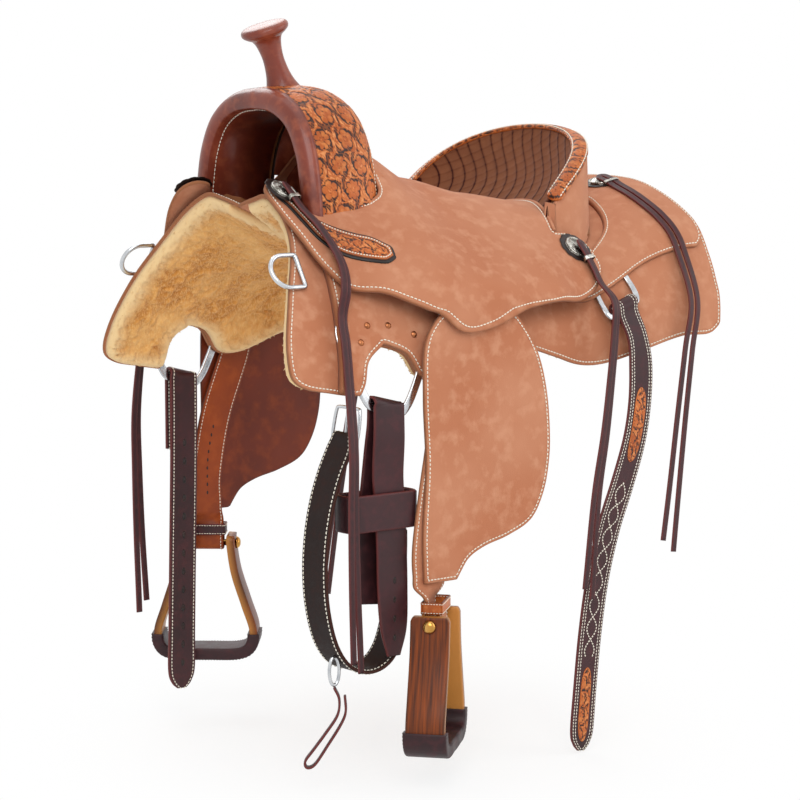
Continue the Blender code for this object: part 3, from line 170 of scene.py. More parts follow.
def threadMaterial():
    # waxed linen thread, twisted: pale with a fine ply
    material, tree, shader = newMaterial("waxed linen thread", Roughness=0.6)
    where = addNode(tree, "ShaderNodeTexCoord").outputs["Object"]
    ply = cloudy(tree, where, 2500.0)
    tree.links.new(mixColours(tree, ply, "#e2d8c0", "#fbf7ec"), shader.inputs["Base Color"])
    return material


def fleeceMaterial():
    # tanned shearling: gold curls, paler at the tips; each of the locks has a random tone, and the low pile
    # between the tufts is darker, painted shade in the hollows
    material, tree, shader = newMaterial("gold shearling", Roughness=0.95)
    where = addNode(tree, "ShaderNodeTexCoord").outputs["Object"]
    lockToneAndHollowShade = addNode(tree, "ShaderNodeAttribute", attribute_name="lockToneAndHollowShade").outputs["Fac"]
    rim = addNode(tree, "ShaderNodeAttribute", attribute_name="rim").outputs["Fac"]
    # dark to light by the pile's height, painted shade in the hollows between tufts, and by a random tone for
    # each of the locks
    colour = mixColours(tree, lockToneAndHollowShade, "#b26c1c", "#e3a14a")
    colour = mixColours(tree, stretched(tree, cloudy(tree, where, 16.0, 4.0), 0.42, 0.72), colour, "#f2bd72")
    hang = addNode(tree, "ShaderNodeMapping", {"Scale": (1.0, 1.0, 0.45)}, {"Vector": where}).outputs[0]
    curl = cloudy(tree, hang, 520.0, 4.0)
    colour = mixColours(tree, stretched(tree, curl, 0.45, 0.85), colour, "#f6cf8e")
    colour = mixColours(tree, rim, colour, "#f1cf98")
    tree.links.new(colour, shader.inputs["Base Color"])
    bump = addNode(tree, "ShaderNodeBump", {"Strength": 0.7, "Distance": 0.0012}, {"Height": curl})
    tree.links.new(bump.outputs[0], shader.inputs["Normal"])
    shader.inputs["Sheen Weight"].default_value = 0.15
    shader.inputs["Sheen Roughness"].default_value = 0.6
    return material


def metalMaterial(name, v):
    # cast or rolled and then polished: small changes in gloss, with fine scratches
    material, tree, shader = newMaterial(name, Metallic=1.0)
    where = addNode(tree, "ShaderNodeTexCoord").outputs["Object"]
    smear = stretched(tree, cloudy(tree, where, 90.0, 4.0), 0.3, 0.7)
    tree.links.new(mixColours(tree, smear, v["dark"], v["colour"]), shader.inputs["Base Color"])
    rough = addNode(tree, "ShaderNodeMapRange", {"To Min": v["rough"], "To Max": v["rough"] + 0.12},
                    {"Value": smear})
    tree.links.new(rough.outputs[0], shader.inputs["Roughness"])
    lines = addNode(tree, "ShaderNodeTexVoronoi", {"Scale": v["engraving"]}, {"Vector": where},
                    feature="DISTANCE_TO_EDGE").outputs["Distance"]
    bump = addNode(tree, "ShaderNodeBump", {"Strength": v["bump"], "Distance": 0.0004},
                   {"Height": stretched(tree, lines, 0.0, 0.12)})
    tree.links.new(bump.outputs[0], shader.inputs["Normal"])
    return material


def woodMaterial(name, v):
    # laminated hardwood, oiled: plies across the thickness with a fine grain along them
    material, tree, shader = newMaterial(name)
    around = addNode(tree, "ShaderNodeUVMap", uv_map="UVMap").outputs[0]
    where = addNode(tree, "ShaderNodeMapping", {"Scale": (v["along"], v["across"], 1.0)},
                    {"Vector": around}).outputs[0]
    grain = cloudy(tree, where, 1.0, 6.0)
    colour = mixColours(tree, stretched(tree, grain, 0.35, 0.68), v["dark"], v["colour"])
    ply = addNode(tree, "ShaderNodeAttribute", attribute_name="ply").outputs["Fac"]
    colour = mixColours(tree, ply, colour, v["pale"])
    tree.links.new(colour, shader.inputs["Base Color"])
    bump = addNode(tree, "ShaderNodeBump", {"Strength": 0.12, "Distance": 0.0004}, {"Height": grain})
    tree.links.new(bump.outputs[0], shader.inputs["Normal"])
    shader.inputs["Roughness"].default_value = 0.42
    shader.inputs["Specular IOR Level"].default_value = 0.3
    shader.inputs["Coat Weight"].default_value = v["coat"]
    shader.inputs["Coat Roughness"].default_value = 0.15
    return material


roughoutLook = {"colour": "#c48666", "dark": "#b87554", "light": "#d19878", "edge": "#96603f", "rough": 0.92,
                "broad": 7.0, "fine": 60.0, "grain": 1500.0, "crease": 0.0, "bump": 0.5, "sheen": 0.08,
                "shine": 0.15}
tooledLook = {"colour": "#c5672b", "dark": "#a8511b", "light": "#d98a48", "edge": "#4a2212", "rough": 0.48,
              "broad": 14.0, "fine": 120.0, "grain": 1300.0, "crease": 0.6, "bump": 0.2, "coat": 0.1,
              "shine": 0.3,
              "background": "#2c150e", "high": "#eea669"}
mahoganyLook = {"colour": "#853824", "dark": "#642618", "light": "#a05336", "edge": "#3a160f", "rough": 0.42,
                "broad": 9.0, "fine": 70.0, "grain": 900.0, "crease": 0.7, "bump": 0.1, "coat": 0.3,
                "shine": 0.35}
latigoLook = {"colour": "#391a1e", "dark": "#281216", "light": "#4b2226", "edge": "#6a2a27", "rough": 0.5,
              "broad": 10.0, "fine": 90.0, "grain": 1000.0, "crease": 0.8, "bump": 0.2, "coat": 0.05,
              "shine": 0.35}
cinchLook = {"colour": "#22120f", "dark": "#190d0b", "light": "#301b17", "edge": "#432219", "rough": 0.6,
             "broad": 10.0, "fine": 90.0, "grain": 900.0, "crease": 0.8, "bump": 0.25, "shine": 0.2}
russetLook = {"colour": "#9a430e", "dark": "#803208", "light": "#b0541a", "edge": "#4d2010", "rough": 0.5,
              "broad": 8.0, "fine": 60.0, "grain": 900.0, "crease": 0.7, "bump": 0.15, "coat": 0.08,
              "shine": 0.3}
blackLook = {"colour": "#241714", "dark": "#170f0d", "light": "#38221c", "edge": "#0e0b0a", "rough": 0.45,
             "broad": 10.0, "fine": 90.0, "grain": 1000.0, "crease": 0.8, "bump": 0.2, "coat": 0.2}
# the quilted inlay: the roughout's colours darkened to the shaded tone of the cantle's dished face, painted
# shade
quiltPaintedShadeLook = dict(roughoutLook, colour="#7d4c33", dark="#70422b", light="#8a583c", background="#3a160f",
                 high="#8c5a3f", edge="#5a3322")
brightSteel = {"colour": "#d9dbdd", "dark": "#b9bcc0", "rough": 0.16, "engraving": 30.0, "bump": 0.0}
engravedSilver = {"colour": "#dedbd2", "dark": "#5c5850", "rough": 0.14, "engraving": 420.0, "bump": 0.5}
polishedBrass = {"colour": "#d9a860", "dark": "#b8863f", "rough": 0.16, "engraving": 40.0, "bump": 0.0}
walnutLook = {"colour": "#8b400d", "dark": "#451c07", "pale": "#c3843f", "along": 12.0, "across": 260.0,
              "coat": 0.05}
pineLook = {"colour": "#9a6a47", "dark": "#855738", "pale": "#a9784f", "along": 14.0, "across": 300.0,
            "coat": 0.0}

roughout = leatherMaterial("roughout cowhide", roughoutLook)
quilted = carvedMaterial("quilted roughout with painted shade", quiltPaintedShadeLook)
tooled = carvedMaterial("carved skirting leather", tooledLook)
mahogany = leatherMaterial("glazed mahogany leather", mahoganyLook)
latigo = leatherMaterial("waxed latigo leather", latigoLook)
harness = leatherMaterial("dark harness leather", cinchLook)
russet = leatherMaterial("russet skirting leather", russetLook)
# a darker copy of the russet for the far fender: painted shade, as that fender hangs in shadow under the
# saddle
russetPaintedShade = leatherMaterial("russet skirting leather",
                             dict(russetLook, colour="#7c3012", dark="#61220c", light="#8f401a"))
blackHide = leatherMaterial("black dyed leather", blackLook)
thread = threadMaterial()
fleece = fleeceMaterial()
steel = metalMaterial("polished steel", brightSteel)
silver = metalMaterial("engraved silver", engravedSilver)
brass = metalMaterial("polished brass", polishedBrass)
copper = metalMaterial("copper rivet",
                       {"colour": "#b9774f", "dark": "#8a5335", "rough": 0.3, "engraving": 40.0, "bump": 0.0})
walnut = woodMaterial("laminated walnut", walnutLook)
pine = woodMaterial("pine", pineLook)
print("materials made")

# ---- meshes from arrays


def makePiece(name, points, faces, material, uv=None, attributes=None, smooth=True):
    # points (n, 3) and faces (m, 3 or 4) become one mesh; uv is per point
    mesh = bpy.data.meshes.new(name)
    faces = np.asarray(faces, dtype=np.int32)
    sides = faces.shape[1]
    mesh.vertices.add(len(points))
    mesh.vertices.foreach_set("co", np.asarray(points, dtype=np.float32).ravel())
    mesh.loops.add(faces.size)
    mesh.loops.foreach_set("vertex_index", faces.ravel())
    mesh.polygons.add(len(faces))
    mesh.polygons.foreach_set("loop_start", np.arange(0, faces.size, sides, dtype=np.int32))
    mesh.update(calc_edges=True)
    if uv is not None:
        layer = mesh.uv_layers.new(name="UVMap")
        layer.data.foreach_set("uv", np.asarray(uv, dtype=np.float32)[faces.ravel()].ravel())
    for label, values in (attributes or {}).items():
        slot = mesh.attributes.new(label, "FLOAT", "POINT")
        slot.data.foreach_set("value", np.asarray(values, dtype=np.float32).ravel())
    mesh.polygons.foreach_set("use_smooth", np.full(len(faces), smooth))
    mesh.materials.append(material)
    mesh.validate()
    piece = bpy.data.objects.new(name, mesh)
    bpy.context.scene.collection.objects.link(piece)
    return piece


def attach(piece, body, nodes=()):
    # moves with its body and stands for the nodes, which it hides
    if nodes:
        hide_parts(*nodes)
    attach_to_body(piece, body)
    return piece


def unit(v):
    # each vector divided by its own length
    return v / np.maximum(np.linalg.norm(v, axis=-1, keepdims=True), 1e-9)


def facingOut(points, faces):
    # turns all faces over when the closed shell's signed volume is negative
    a, b, c = (points[faces[:, k]] for k in range(3))
    volume = np.einsum("ij,ij->", a, np.cross(b, c))
    if faces.shape[1] == 4:
        d = points[faces[:, 3]]
        volume += np.einsum("ij,ij->", a, np.cross(c, d))
    return faces[:, ::-1] if volume < 0 else faces


def smoothLine(points, steps):
    # curve through the points: each span is a cubic whose end slopes are half the neighbours' difference
    p = np.asarray(points, float)
    ends = np.vstack([2 * p[0] - p[1], p, 2 * p[-1] - p[-2]])
    a, b, c, d = (ends[k:len(ends) - 3 + k] for k in range(4))
    s = np.linspace(0, 1, steps, endpoint=False)[None, :, None]
    a, b, c, d = (q[:, None, :] for q in (a, b, c, d))
    line = 0.5 * (2 * b + (c - a) * s + (2 * a - 5 * b + 4 * c - d) * s ** 2
                  + (3 * b - a - 3 * c + d) * s ** 3)
    return np.vstack([line.reshape(-1, p.shape[1]), p[-1:]])


def smoothLoop(points, steps, corner=52.0):
    # the same round a closed outline, but a turn sharper than the corner angle stays a corner
    p = np.asarray(points, float)
    before, after = np.roll(p, 1, axis=0), np.roll(p, -1, axis=0)
    way0, way1 = p - before, after - p
    turn = np.abs((np.arctan2(way1[:, 1], way1[:, 0]) - np.arctan2(way0[:, 1], way0[:, 0])
                   + np.pi) % (2 * np.pi) - np.pi)
    sharp = (turn > math.radians(corner))[:, None]
    size0, size1 = (np.linalg.norm(w, axis=1)[:, None] for w in (way0, way1))
    slope = (way0 / size0 + way1 / size1) / 2
    leave = np.where(sharp, way1 / size1, slope)
    arrive = np.roll(np.where(sharp, way0 / size0, slope), -1, axis=0)
    s = np.linspace(0, 1, steps, endpoint=False)[None, :, None]
    p0, p1, m0, m1 = (q[:, None, :] for q in (p, after, leave * size1, arrive * size1))
    line = (2 * s ** 3 - 3 * s ** 2 + 1) * p0 + (s ** 3 - 2 * s ** 2 + s) * m0
    line = line + (-2 * s ** 3 + 3 * s ** 2) * p1 + (s ** 3 - s ** 2) * m1
    return line.reshape(-1, 2)


def runOf(line, closed=False):
    # length along a line up to each of its points
    steps = np.linalg.norm(np.diff(np.vstack([line, line[:1]]) if closed else line, axis=0), axis=1)
    return np.r_[0, np.cumsum(steps)]


def spaced(line, pitch, closed=False):
    # the line again, as points an even pitch apart
    whole = np.vstack([line, line[:1]]) if closed else np.asarray(line, float)
    run = runOf(whole)
    count = max(int(run[-1] / pitch), 2)
    at = np.linspace(0, run[-1], count + 1)[:-1 if closed else None]
    return np.stack([np.interp(at, run, whole[:, k]) for k in range(whole.shape[1])], axis=1)


def fromEdge(points, loop):
    # distance of each point from a closed outline, to the nearest of its segments
    a, b = loop, np.roll(loop, -1, axis=0)
    best = np.full(len(points), 9.0)
    way = b - a
    size = np.maximum((way ** 2).sum(1), 1e-12)
    for first in range(0, len(points), 4000):
        p = points[first:first + 4000, None, :]
        share = np.clip(((p - a) * way).sum(2) / size, 0, 1)
        best[first:first + 4000] = np.sqrt((((a + way * share[..., None]) - p) ** 2).sum(2).min(1))
    return best


def insideOf(points, loop):
    # counts crossings of a ray to the right
    x, y = points[:, :1], points[:, 1:]
    (ax, ay), (bx, by) = loop.T, np.roll(loop, -1, axis=0).T
    spans = (ay > y) != (by > y)
    cross = (bx - ax) * (y - ay) / np.where(by == ay, 1e-12, by - ay) + ax
    return (spans & (x < cross)).sum(1) % 2 == 1


def insetLoop(loop, by):
    # moves an outline inwards along its normals and drops what comes too near to it again
    area = np.sum(loop[:, 0] * np.roll(loop[:, 1], -1) - np.roll(loop[:, 0], -1) * loop[:, 1])
    way = np.roll(loop, -1, axis=0) - np.roll(loop, 1, axis=0)
    way = unit(way)
    moved = loop + np.sign(area) * by * np.stack([-way[:, 1], way[:, 0]], axis=1)
    return moved[fromEdge(moved, loop) > by * 0.97]


# ---- the form of the skirts, on which every leather layer lies

formShape = {
    "front": [(0, 0.093), (0.032, 0.103), (0.065, 0.108), (0.11, 0.078), (0.145, 0.035),
              (0.18, -0.025), (0.203, -0.08), (0.218, -0.131), (0.228, -0.22)],
    "middle": [(0, 0.030), (0.04, 0.030), (0.08, 0.024), (0.125, 0.012), (0.165, -0.008),
               (0.198, -0.035), (0.216, -0.062), (0.2245, -0.095), (0.227, -0.24)],
    "rear": [(0, 0.104), (0.052, 0.102), (0.098, 0.094), (0.15, 0.072), (0.190, 0.045),
             (0.212, 0.008), (0.228, -0.03), (0.238, -0.07), (0.244, -0.20)],
    "frontAt": -0.33, "middleFrom": -0.10, "middleTo": 0.10, "rearAt": 0.37}
layers = {"gap": 0.0003, "fleece": 0.017, "skirt": 0.0047, "plate": 0.0085, "seat": 0.005, "housing": 0.0060,
          "patch": 0.0035, "dee": 0.0039}
seatShape = {
    "at": [-0.29, -0.24, -0.19, -0.12, -0.03, 0.06, 0.12, 0.18],
    "sections": [
        [(0, 0.125), (0.062, 0.117), (0.102, 0.094), (0.140, 0.058), (0.165, 0.025),
         (0.188, -0.012), (0.208, -0.05), (0.225, -0.10), (0.233, -0.15)],
        [(0, 0.130), (0.064, 0.108), (0.106, 0.086), (0.142, 0.058), (0.170, 0.027),
         (0.197, -0.008), (0.217, -0.045), (0.232, -0.09), (0.238, -0.15)],
        [(0, 0.145), (0.070, 0.118), (0.112, 0.092), (0.150, 0.063), (0.186, 0.030),
         (0.218, -0.005), (0.238, -0.038), (0.249, -0.09), (0.252, -0.15)],
        [(0, 0.158), (0.060, 0.146), (0.100, 0.118), (0.148, 0.076), (0.196, 0.036),
         (0.236, -0.002), (0.2540, -0.04), (0.2560, -0.09), (0.2570, -0.15)],
        [(0, 0.114), (0.060, 0.106), (0.100, 0.088), (0.150, 0.058), (0.200, 0.022),
         (0.240, -0.012), (0.2540, -0.04), (0.2560, -0.09), (0.2570, -0.15)],
        [(0, 0.090), (0.060, 0.089), (0.110, 0.080), (0.160, 0.052), (0.205, 0.018),
         (0.240, -0.016), (0.2535, -0.045), (0.2560, -0.09), (0.2570, -0.15)],
        [(0, 0.072), (0.060, 0.078), (0.110, 0.078), (0.150, 0.062), (0.186, 0.028),
         (0.217, -0.005), (0.234, -0.035), (0.246, -0.08), (0.250, -0.15)],
        [(0, 0.070), (0.060, 0.076), (0.110, 0.070), (0.150, 0.050), (0.186, 0.022),
         (0.212, -0.006), (0.230, -0.038), (0.243, -0.08), (0.247, -0.15)]]}


def ease(v):
    # 3 v^2 - 2 v^3 between 0 and 1: a step with flat ends
    v = np.clip(v, 0, 1)
    return v * v * (3 - 2 * v)


gridX = np.linspace(-0.36, 0.40, 153)
gridT = np.linspace(-0.42, 0.42, 169)


def gridForm():
    # each column is a section between front, middle and rear, walked by arc length t from the ridge
    f = formShape
    front, middle, rear = (smoothLine(f[k], 12) for k in ("front", "middle", "rear"))
    toMiddle = ease((gridX - f["frontAt"]) / (f["middleFrom"] - f["frontAt"]))[:, None, None]
    toRear = ease((gridX - f["middleTo"]) / (f["rearAt"] - f["middleTo"]))[:, None, None]
    lines = np.where(gridX[:, None, None] < 0, front * (1 - toMiddle) + middle * toMiddle,
                     middle * (1 - toRear) + rear * toRear)
    place = np.zeros((len(gridX), len(gridT), 3))
    down = np.abs(gridT)
    for k, line in enumerate(lines):
        run = runOf(line)
        over = np.maximum(down - run[-1], 0)
        place[k, :, 1] = np.interp(down, run, line[:, 0])
        place[k, :, 2] = np.interp(down, run, line[:, 1]) - over
    place[..., 0] = gridX[:, None]
    along = np.gradient(place[..., 1:], gridT[gridT >= 0][1], axis=1) * np.sign(gridT)[None, :, None]
    along[:, gridT == 0] = (1, 0)
    along = unit(along)
    out = np.zeros_like(place)
    side = np.where(gridT < 0, -1.0, 1.0)[None, :]
    out[..., 1] = -along[..., 1] * side
    out[..., 2] = along[..., 0]
    place[..., 1] *= side
    return place, out


formPlace, formOut = gridForm()


def sampled(field, x, t):
    # values of a grid field between its points, straight both ways
    u = np.clip((x - gridX[0]) / (gridX[1] - gridX[0]), 0, len(gridX) - 1.001)
    v = np.clip((t - gridT[0]) / (gridT[1] - gridT[0]), 0, len(gridT) - 1.001)
    i, j = u.astype(int), v.astype(int)
    u, v = (u - i), (v - j)
    if field.ndim == 3:
        u, v = u[..., None], v[..., None]
    return (field[i, j] * (1 - u) * (1 - v) + field[i + 1, j] * u * (1 - v)
            + field[i, j + 1] * (1 - u) * v + field[i + 1, j + 1] * u * v)


def onForm(x, t, tall):
    # place = form + height along the way out of it
    x, t = np.asarray(x, float), np.asarray(t, float)
    out = sampled(formOut, x, t)
    out = unit(out)
    return sampled(formPlace, x, t) + out * np.asarray(tall, float)[..., None]


def gridSeat():
    # height of the seat's top: each way out of the form is met with the seat's own section
    at = np.array(seatShape["at"])
    known = np.array(seatShape["sections"], float)
    tall = np.zeros(formPlace.shape[:2])
    for i, x in enumerate(gridX):
        k = int(np.clip(np.searchsorted(at, x) - 1, 0, len(at) - 2))
        w = ease((x - at[k]) / (at[k + 1] - at[k]))
        line = smoothLine(known[k] * (1 - w) + known[k + 1] * w, 8)
        first = np.stack([np.abs(formPlace[i, :, 1]), formPlace[i, :, 2]], axis=1)
        way = np.stack([np.abs(formOut[i, :, 1]), formOut[i, :, 2]], axis=1)
        away = line[None] - first[:, None]
        off = away[..., 1] * way[:, None, 0] - away[..., 0] * way[:, None, 1]
        reach = (away * way[:, None]).sum(2)
        meets = off[:, :-1] * off[:, 1:] <= 0
        share = off[:, :-1] / np.where(meets, off[:, :-1] - off[:, 1:] + 1e-12, 1.0)
        found = np.where(meets, reach[:, :-1] + share * (reach[:, 1:] - reach[:, :-1]), -1.0)
        best = found.max(1)
        tall[i] = np.where(best > 0, best, 2 * layers["seat"])
    for _ in range(3):
        tall[1:-1] = (tall[:-2] + 2 * tall[1:-1] + tall[2:]) / 4
        tall[:, 1:-1] = (tall[:, :-2] + 2 * tall[:, 1:-1] + tall[:, 2:]) / 4
    return tall


seatTop = gridSeat()


def lumps(p, size, seed=0):
    # smooth random field: corners of a cubic lattice get hashed values, blended between
    q = p / size
    cell = np.floor(q).astype(np.int64)
    f = q - cell
    f = f * f * (3 - 2 * f)
    total = 0.0
    for a in (0, 1):
        for b in (0, 1):
            for c in (0, 1):
                h = (((cell[..., 0] + a) * 73856093) ^ ((cell[..., 1] + b) * 19349663)
                     ^ ((cell[..., 2] + c) * 83492791))
                h = (h + seed * 2654435) * 1103515245 + 12345
                value = ((h >> 12) & 1023) / 1023.0
                weight = (f[..., 0] if a else 1 - f[..., 0]) * (f[..., 1] if b else 1 - f[..., 1])
                total = total + value * weight * (f[..., 2] if c else 1 - f[..., 2])
    return total


# ---- panels of leather

stitchRuns = {}


def sewAlong(body, places, outs, pitch, size=0.00085, closed=False):
    # remembers a row of stitches: an even pitch along the line, each lying on its own way out
    both = spaced(np.hstack([places, outs * 0.001]), pitch, closed)
    middle, up = both[:, :3], both[:, 3:]
    way = np.roll(middle, -1, axis=0) - middle if closed else np.gradient(middle, axis=0)
    way = unit(way)
    up = up - way * (up * way).sum(1)[:, None]
    up = unit(up)
    stitchRuns.setdefault(body, []).append((middle, way, up, np.full(len(middle), pitch * 0.74),
                                            np.full(len(middle), size)))


def flatLay(side, y):
    # a hanging panel is flat: (along, up) with its thickness across
    def lay(a, b, tall):
        a, b = np.asarray(a, float), np.asarray(b, float)
        return np.stack([a, np.full_like(a, side * y) + side * np.asarray(tall, float), b], axis=-1)
    return lay


def flatSheet(outline, spacing, rows, clear, steps):
    # triangles inside an outline: rows of points set in from it, then a square grid further in than clear
    loop = spaced(smoothLoop(outline, steps), spacing * 0.6, True)
    rings = [loop] + [insetLoop(loop, by) for by in rows]
    low, high = loop.min(0), loop.max(0)
    gx, gy = np.meshgrid(np.arange(low[0], high[0], spacing), np.arange(low[1], high[1], spacing))
    inner = np.stack([gx.ravel() + 0.0003, gy.ravel() + 0.0002], axis=1)
    inner = inner[insideOf(inner, loop)]
    inner = inner[fromEdge(inner, loop) > clear + spacing * 0.55]
    points = [Vector(p) for p in np.vstack([*rings, inner])]
    flat, _, faces, *_ = geometry.delaunay_2d_cdt(points, [], [list(range(len(loop)))], 1, 1e-6)
    return np.array(flat), np.array(faces, dtype=np.int64), loop


def closeSheet(upper, lower, faces):
    # two surfaces with the same faces, joined by walls along the edges that only one face uses
    count = len(upper)
    pairs = np.vstack([faces[:, [0, 1]], faces[:, [1, 2]], faces[:, [2, 0]]])
    _, where, often = np.unique(np.sort(pairs, axis=1), axis=0, return_index=True, return_counts=True)
    a, b = pairs[where[often == 1]].T
    walls = np.vstack([np.stack([b, a, a + count], axis=1), np.stack([b, a + count, b + count], axis=1)])
    both = np.vstack([upper, lower])
    return both, facingOut(both, np.vstack([faces, faces[:, ::-1] + count, walls]))


def panel(name, body, outline, low, high, material, nodes, lay=onForm, roundBy=0.0012, stitchAt=0.0045,
          pitch=0.0052, spacing=0.007, steps=6, relief=None):
    # a cut sheet: points inside the outline are triangulated, then lifted to a low and a high surface;
    # the high one drops off near the edge as a quarter circle and dips along the stitch line
    groove = (stitchAt - 0.0009, stitchAt, stitchAt + 0.0009) if stitchAt else (0.004, 0.006, 0.009)
    flat, faces, loop = flatSheet(outline, spacing, (0.0004, 0.0012, 0.0024, *groove), stitchAt or groove[-1],
                                  steps)
    depth = fromEdge(flat, loop)
    x, t = flat[:, 0], flat[:, 1]
    lowTall = low(x, t) if callable(low) else np.full(len(x), low)
    highTall = high(x, t) if callable(high) else np.full(len(x), high)
    near = np.clip(1 - depth / roundBy, 0, 1)
    drop = roundBy * (1 - np.sqrt(1 - near ** 2))
    if stitchAt:
        drop = drop + 0.00045 * np.exp(-((depth - stitchAt) / 0.0008) ** 2)
    raised = np.zeros(len(x))
    if relief is not None:
        raised, carve = relief(x, t, depth)
    top = lay(x, t, np.maximum(highTall - drop, lowTall + 0.0003) + raised)
    under = lay(x, t, lowTall)
    both, shell = closeSheet(top, under, faces)
    cutEdge = np.exp(-depth / 0.0011) * 0.85
    attributes = {"cutEdge": np.r_[cutEdge, cutEdge]}
    if relief is not None:
        attributes["carving"] = np.r_[carve, np.zeros(len(flat))]
    piece = makePiece(name, both, shell, material, np.vstack([flat, flat]), attributes)
    attach(piece, body, nodes)
    if stitchAt:
        row = insetLoop(loop, stitchAt)
        step = np.linalg.norm(np.roll(row, -1, axis=0) - row, axis=1)
        cuts = np.where(step > spacing * 3)[0]
        for part in ([row] if len(cuts) == 0
                     else np.split(np.roll(row, -cuts[0] - 1, axis=0), cuts[1:] - cuts[0])):
            if len(part) > 3:
                sewFlat(body, part, high, lay, pitch, closed=len(cuts) == 0)
    return piece


def sewFlat(body, line, high, lay, pitch, closed=False, lift=0.0):
    # stitches along a line of the panel's own flat outline
    x, t = line[:, 0], line[:, 1]
    tall = (high(x, t) if callable(high) else np.full(len(x), high)) + lift
    places = lay(x, t, tall)
    outs = lay(x, t, tall + 0.002) - places
    sewAlong(body, places, outs, pitch, closed=closed)


def mirrored(points, side):
    # an outline on one side of the ridge
    return [(x, side * t) for x, t in points]


def bothSides(half):
    # a half outline, then its mirror image on the way back
    return list(half) + [(x, -t) for x, t in reversed(half) if t > 0]


def seatHeight(x, t):
    # height of the seat's top above the form
    return sampled(seatTop, x, t)


def overSeat(lift):
    # the same surface, lifted
    return lambda x, t: seatHeight(x, t) + lift


outlines = {
    "skirt": [(-0.262, 0.0), (-0.268, 0.08), (-0.282, 0.165), (-0.315, 0.253), (-0.335, 0.325),
              (-0.333, 0.352), (-0.318, 0.363), (-0.275, 0.365), (-0.243, 0.362), (-0.237, 0.345),
              (-0.230, 0.318), (-0.203, 0.290), (-0.170, 0.296), (-0.148, 0.322), (-0.115, 0.322),
              (-0.04, 0.298), (0.025, 0.292), (0.075, 0.305), (0.13, 0.323), (0.22, 0.338),
              (0.30, 0.350), (0.350, 0.360), (0.368, 0.350), (0.370, 0.325), (0.370, 0.20),
              (0.366, 0.10), (0.362, 0.0006), (0.245, 0.0006), (0.215, 0.045), (-0.100, 0.045),
              (-0.135, 0.0006)],
    "plate": [(-0.243, 0.136), (-0.252, 0.20), (-0.262, 0.28), (-0.272, 0.3635), (-0.243, 0.3605),
              (-0.2355, 0.345), (-0.2285, 0.3165), (-0.203, 0.2885), (-0.1715, 0.2945),
              (-0.1490, 0.3205), (-0.117, 0.3205), (-0.112, 0.29), (-0.112, 0.22), (-0.125, 0.170)],
    "seat": [(-0.1290, 0.0), (-0.1290, 0.098), (-0.140, 0.108), (-0.236, 0.110), (-0.2440, 0.100),
             (-0.2455, 0.083), (-0.256, 0.070),
             (-0.273, 0.074), (-0.287, 0.092), (-0.287, 0.125), (-0.275, 0.168), (-0.262, 0.205),
             (-0.244, 0.230), (-0.205, 0.236), (-0.160, 0.247), (-0.120, 0.262), (-0.095, 0.268),
             (-0.060, 0.266), (-0.005, 0.257), (0.065, 0.248), (0.120, 0.242), (0.150, 0.232),
             (0.170, 0.214), (0.171, 0.193), (0.166, 0.172), (0.150, 0.160), (0.119, 0.157),
             (0.128, 0.130), (0.146, 0.085), (0.155, 0.040), (0.157, 0.0)],
    "housing": [(0.268, 0.0), (0.262, 0.09), (0.235, 0.150), (0.180, 0.178), (0.14, 0.190),
                (0.115, 0.205), (0.110, 0.228), (0.135, 0.240), (0.19, 0.236), (0.25, 0.230),
                (0.32, 0.236), (0.348, 0.240), (0.360, 0.228), (0.361, 0.18), (0.359, 0.09), (0.356, 0.0)],
    "patch": [(-0.247, 0.084), (-0.256, 0.078), (-0.270, 0.084), (-0.275, 0.102), (-0.268, 0.120),
              (-0.262, 0.140), (-0.250, 0.168), (-0.222, 0.188), (-0.186, 0.196), (-0.172, 0.190),
              (-0.170, 0.178), (-0.186, 0.166), (-0.205, 0.160), (-0.247, 0.136)],
    "frontDee": [(-0.262, 0.277), (-0.264, 0.306), (-0.252, 0.340), (-0.240, 0.362), (-0.229, 0.373),
                 (-0.203, 0.3745), (-0.177, 0.373), (-0.166, 0.362), (-0.154, 0.340), (-0.142, 0.306),
                 (-0.144, 0.277), (-0.155, 0.268), (-0.203, 0.264), (-0.251, 0.268)],
    "rearDee": [(0.168, 0.219), (0.161, 0.226), (0.157, 0.256), (0.159, 0.268), (0.166, 0.2745),
                (0.190, 0.275), (0.214, 0.2745), (0.221, 0.268), (0.223, 0.256), (0.219, 0.226),
                (0.212, 0.219)]}
sides = {"near": -1, "far": 1}


def scrolls(u, v, cell):
    # carving by distance and angle round flowers on a staggered grid:
    # five or eight petals round a beaded eye,
    # spiral leaves between, and a sunk background where neither reaches
    row = np.round(v / (cell * 0.82))
    cx = (np.round(u / cell - 0.5 * (row % 2)) + 0.5 * (row % 2)) * cell
    cy = row * cell * 0.82
    turn = np.sin(cx * 91.7 + cy * 57.3) * 3.1
    r = np.hypot(u - cx, v - cy) / cell
    a = np.arctan2(v - cy, u - cx) + turn
    half = np.where(np.sin(cx * 311.0 + cy * 173.0) > 0, 2.5, 4.0)
    petal = 0.36 * (0.76 + 0.24 * np.abs(np.cos(half * a)))
    inFlower = ease((petal - r) / 0.02)
    flower = (0.82 + 0.25 * np.cos(r / 0.36 * 3.0)
              - 0.42 * np.exp(-(np.cos(half * a) / 0.20) ** 2) * (r > 0.10))
    ring = np.exp(-((r - 0.105) / 0.012) ** 2)
    beads = 0.5 + 0.5 * np.cos(9 * a) * (r < 0.09)
    flower = np.where(r < 0.095, 0.55 + 0.5 * beads * ease((0.095 - r) / 0.02), flower) - 0.5 * ring
    contour = np.exp(-((r - petal) / 0.022) ** 2)
    flow = np.sin(3 * a + 8.0 * np.log(np.maximum(r, 0.05)) + 1.3 * turn)
    leaf = 0.42 + 0.5 * ease((flow + 0.5) / 0.2) - 0.75 * np.exp(-((flow + 0.5) / 0.15) ** 2)
    leaf = leaf + 0.18 * np.sin(34 * r + 9 * flow) * (flow > -0.25)
    carve = inFlower * flower + (1 - inFlower) * leaf - 0.75 * contour
    return np.clip(carve, 0, 1.2)


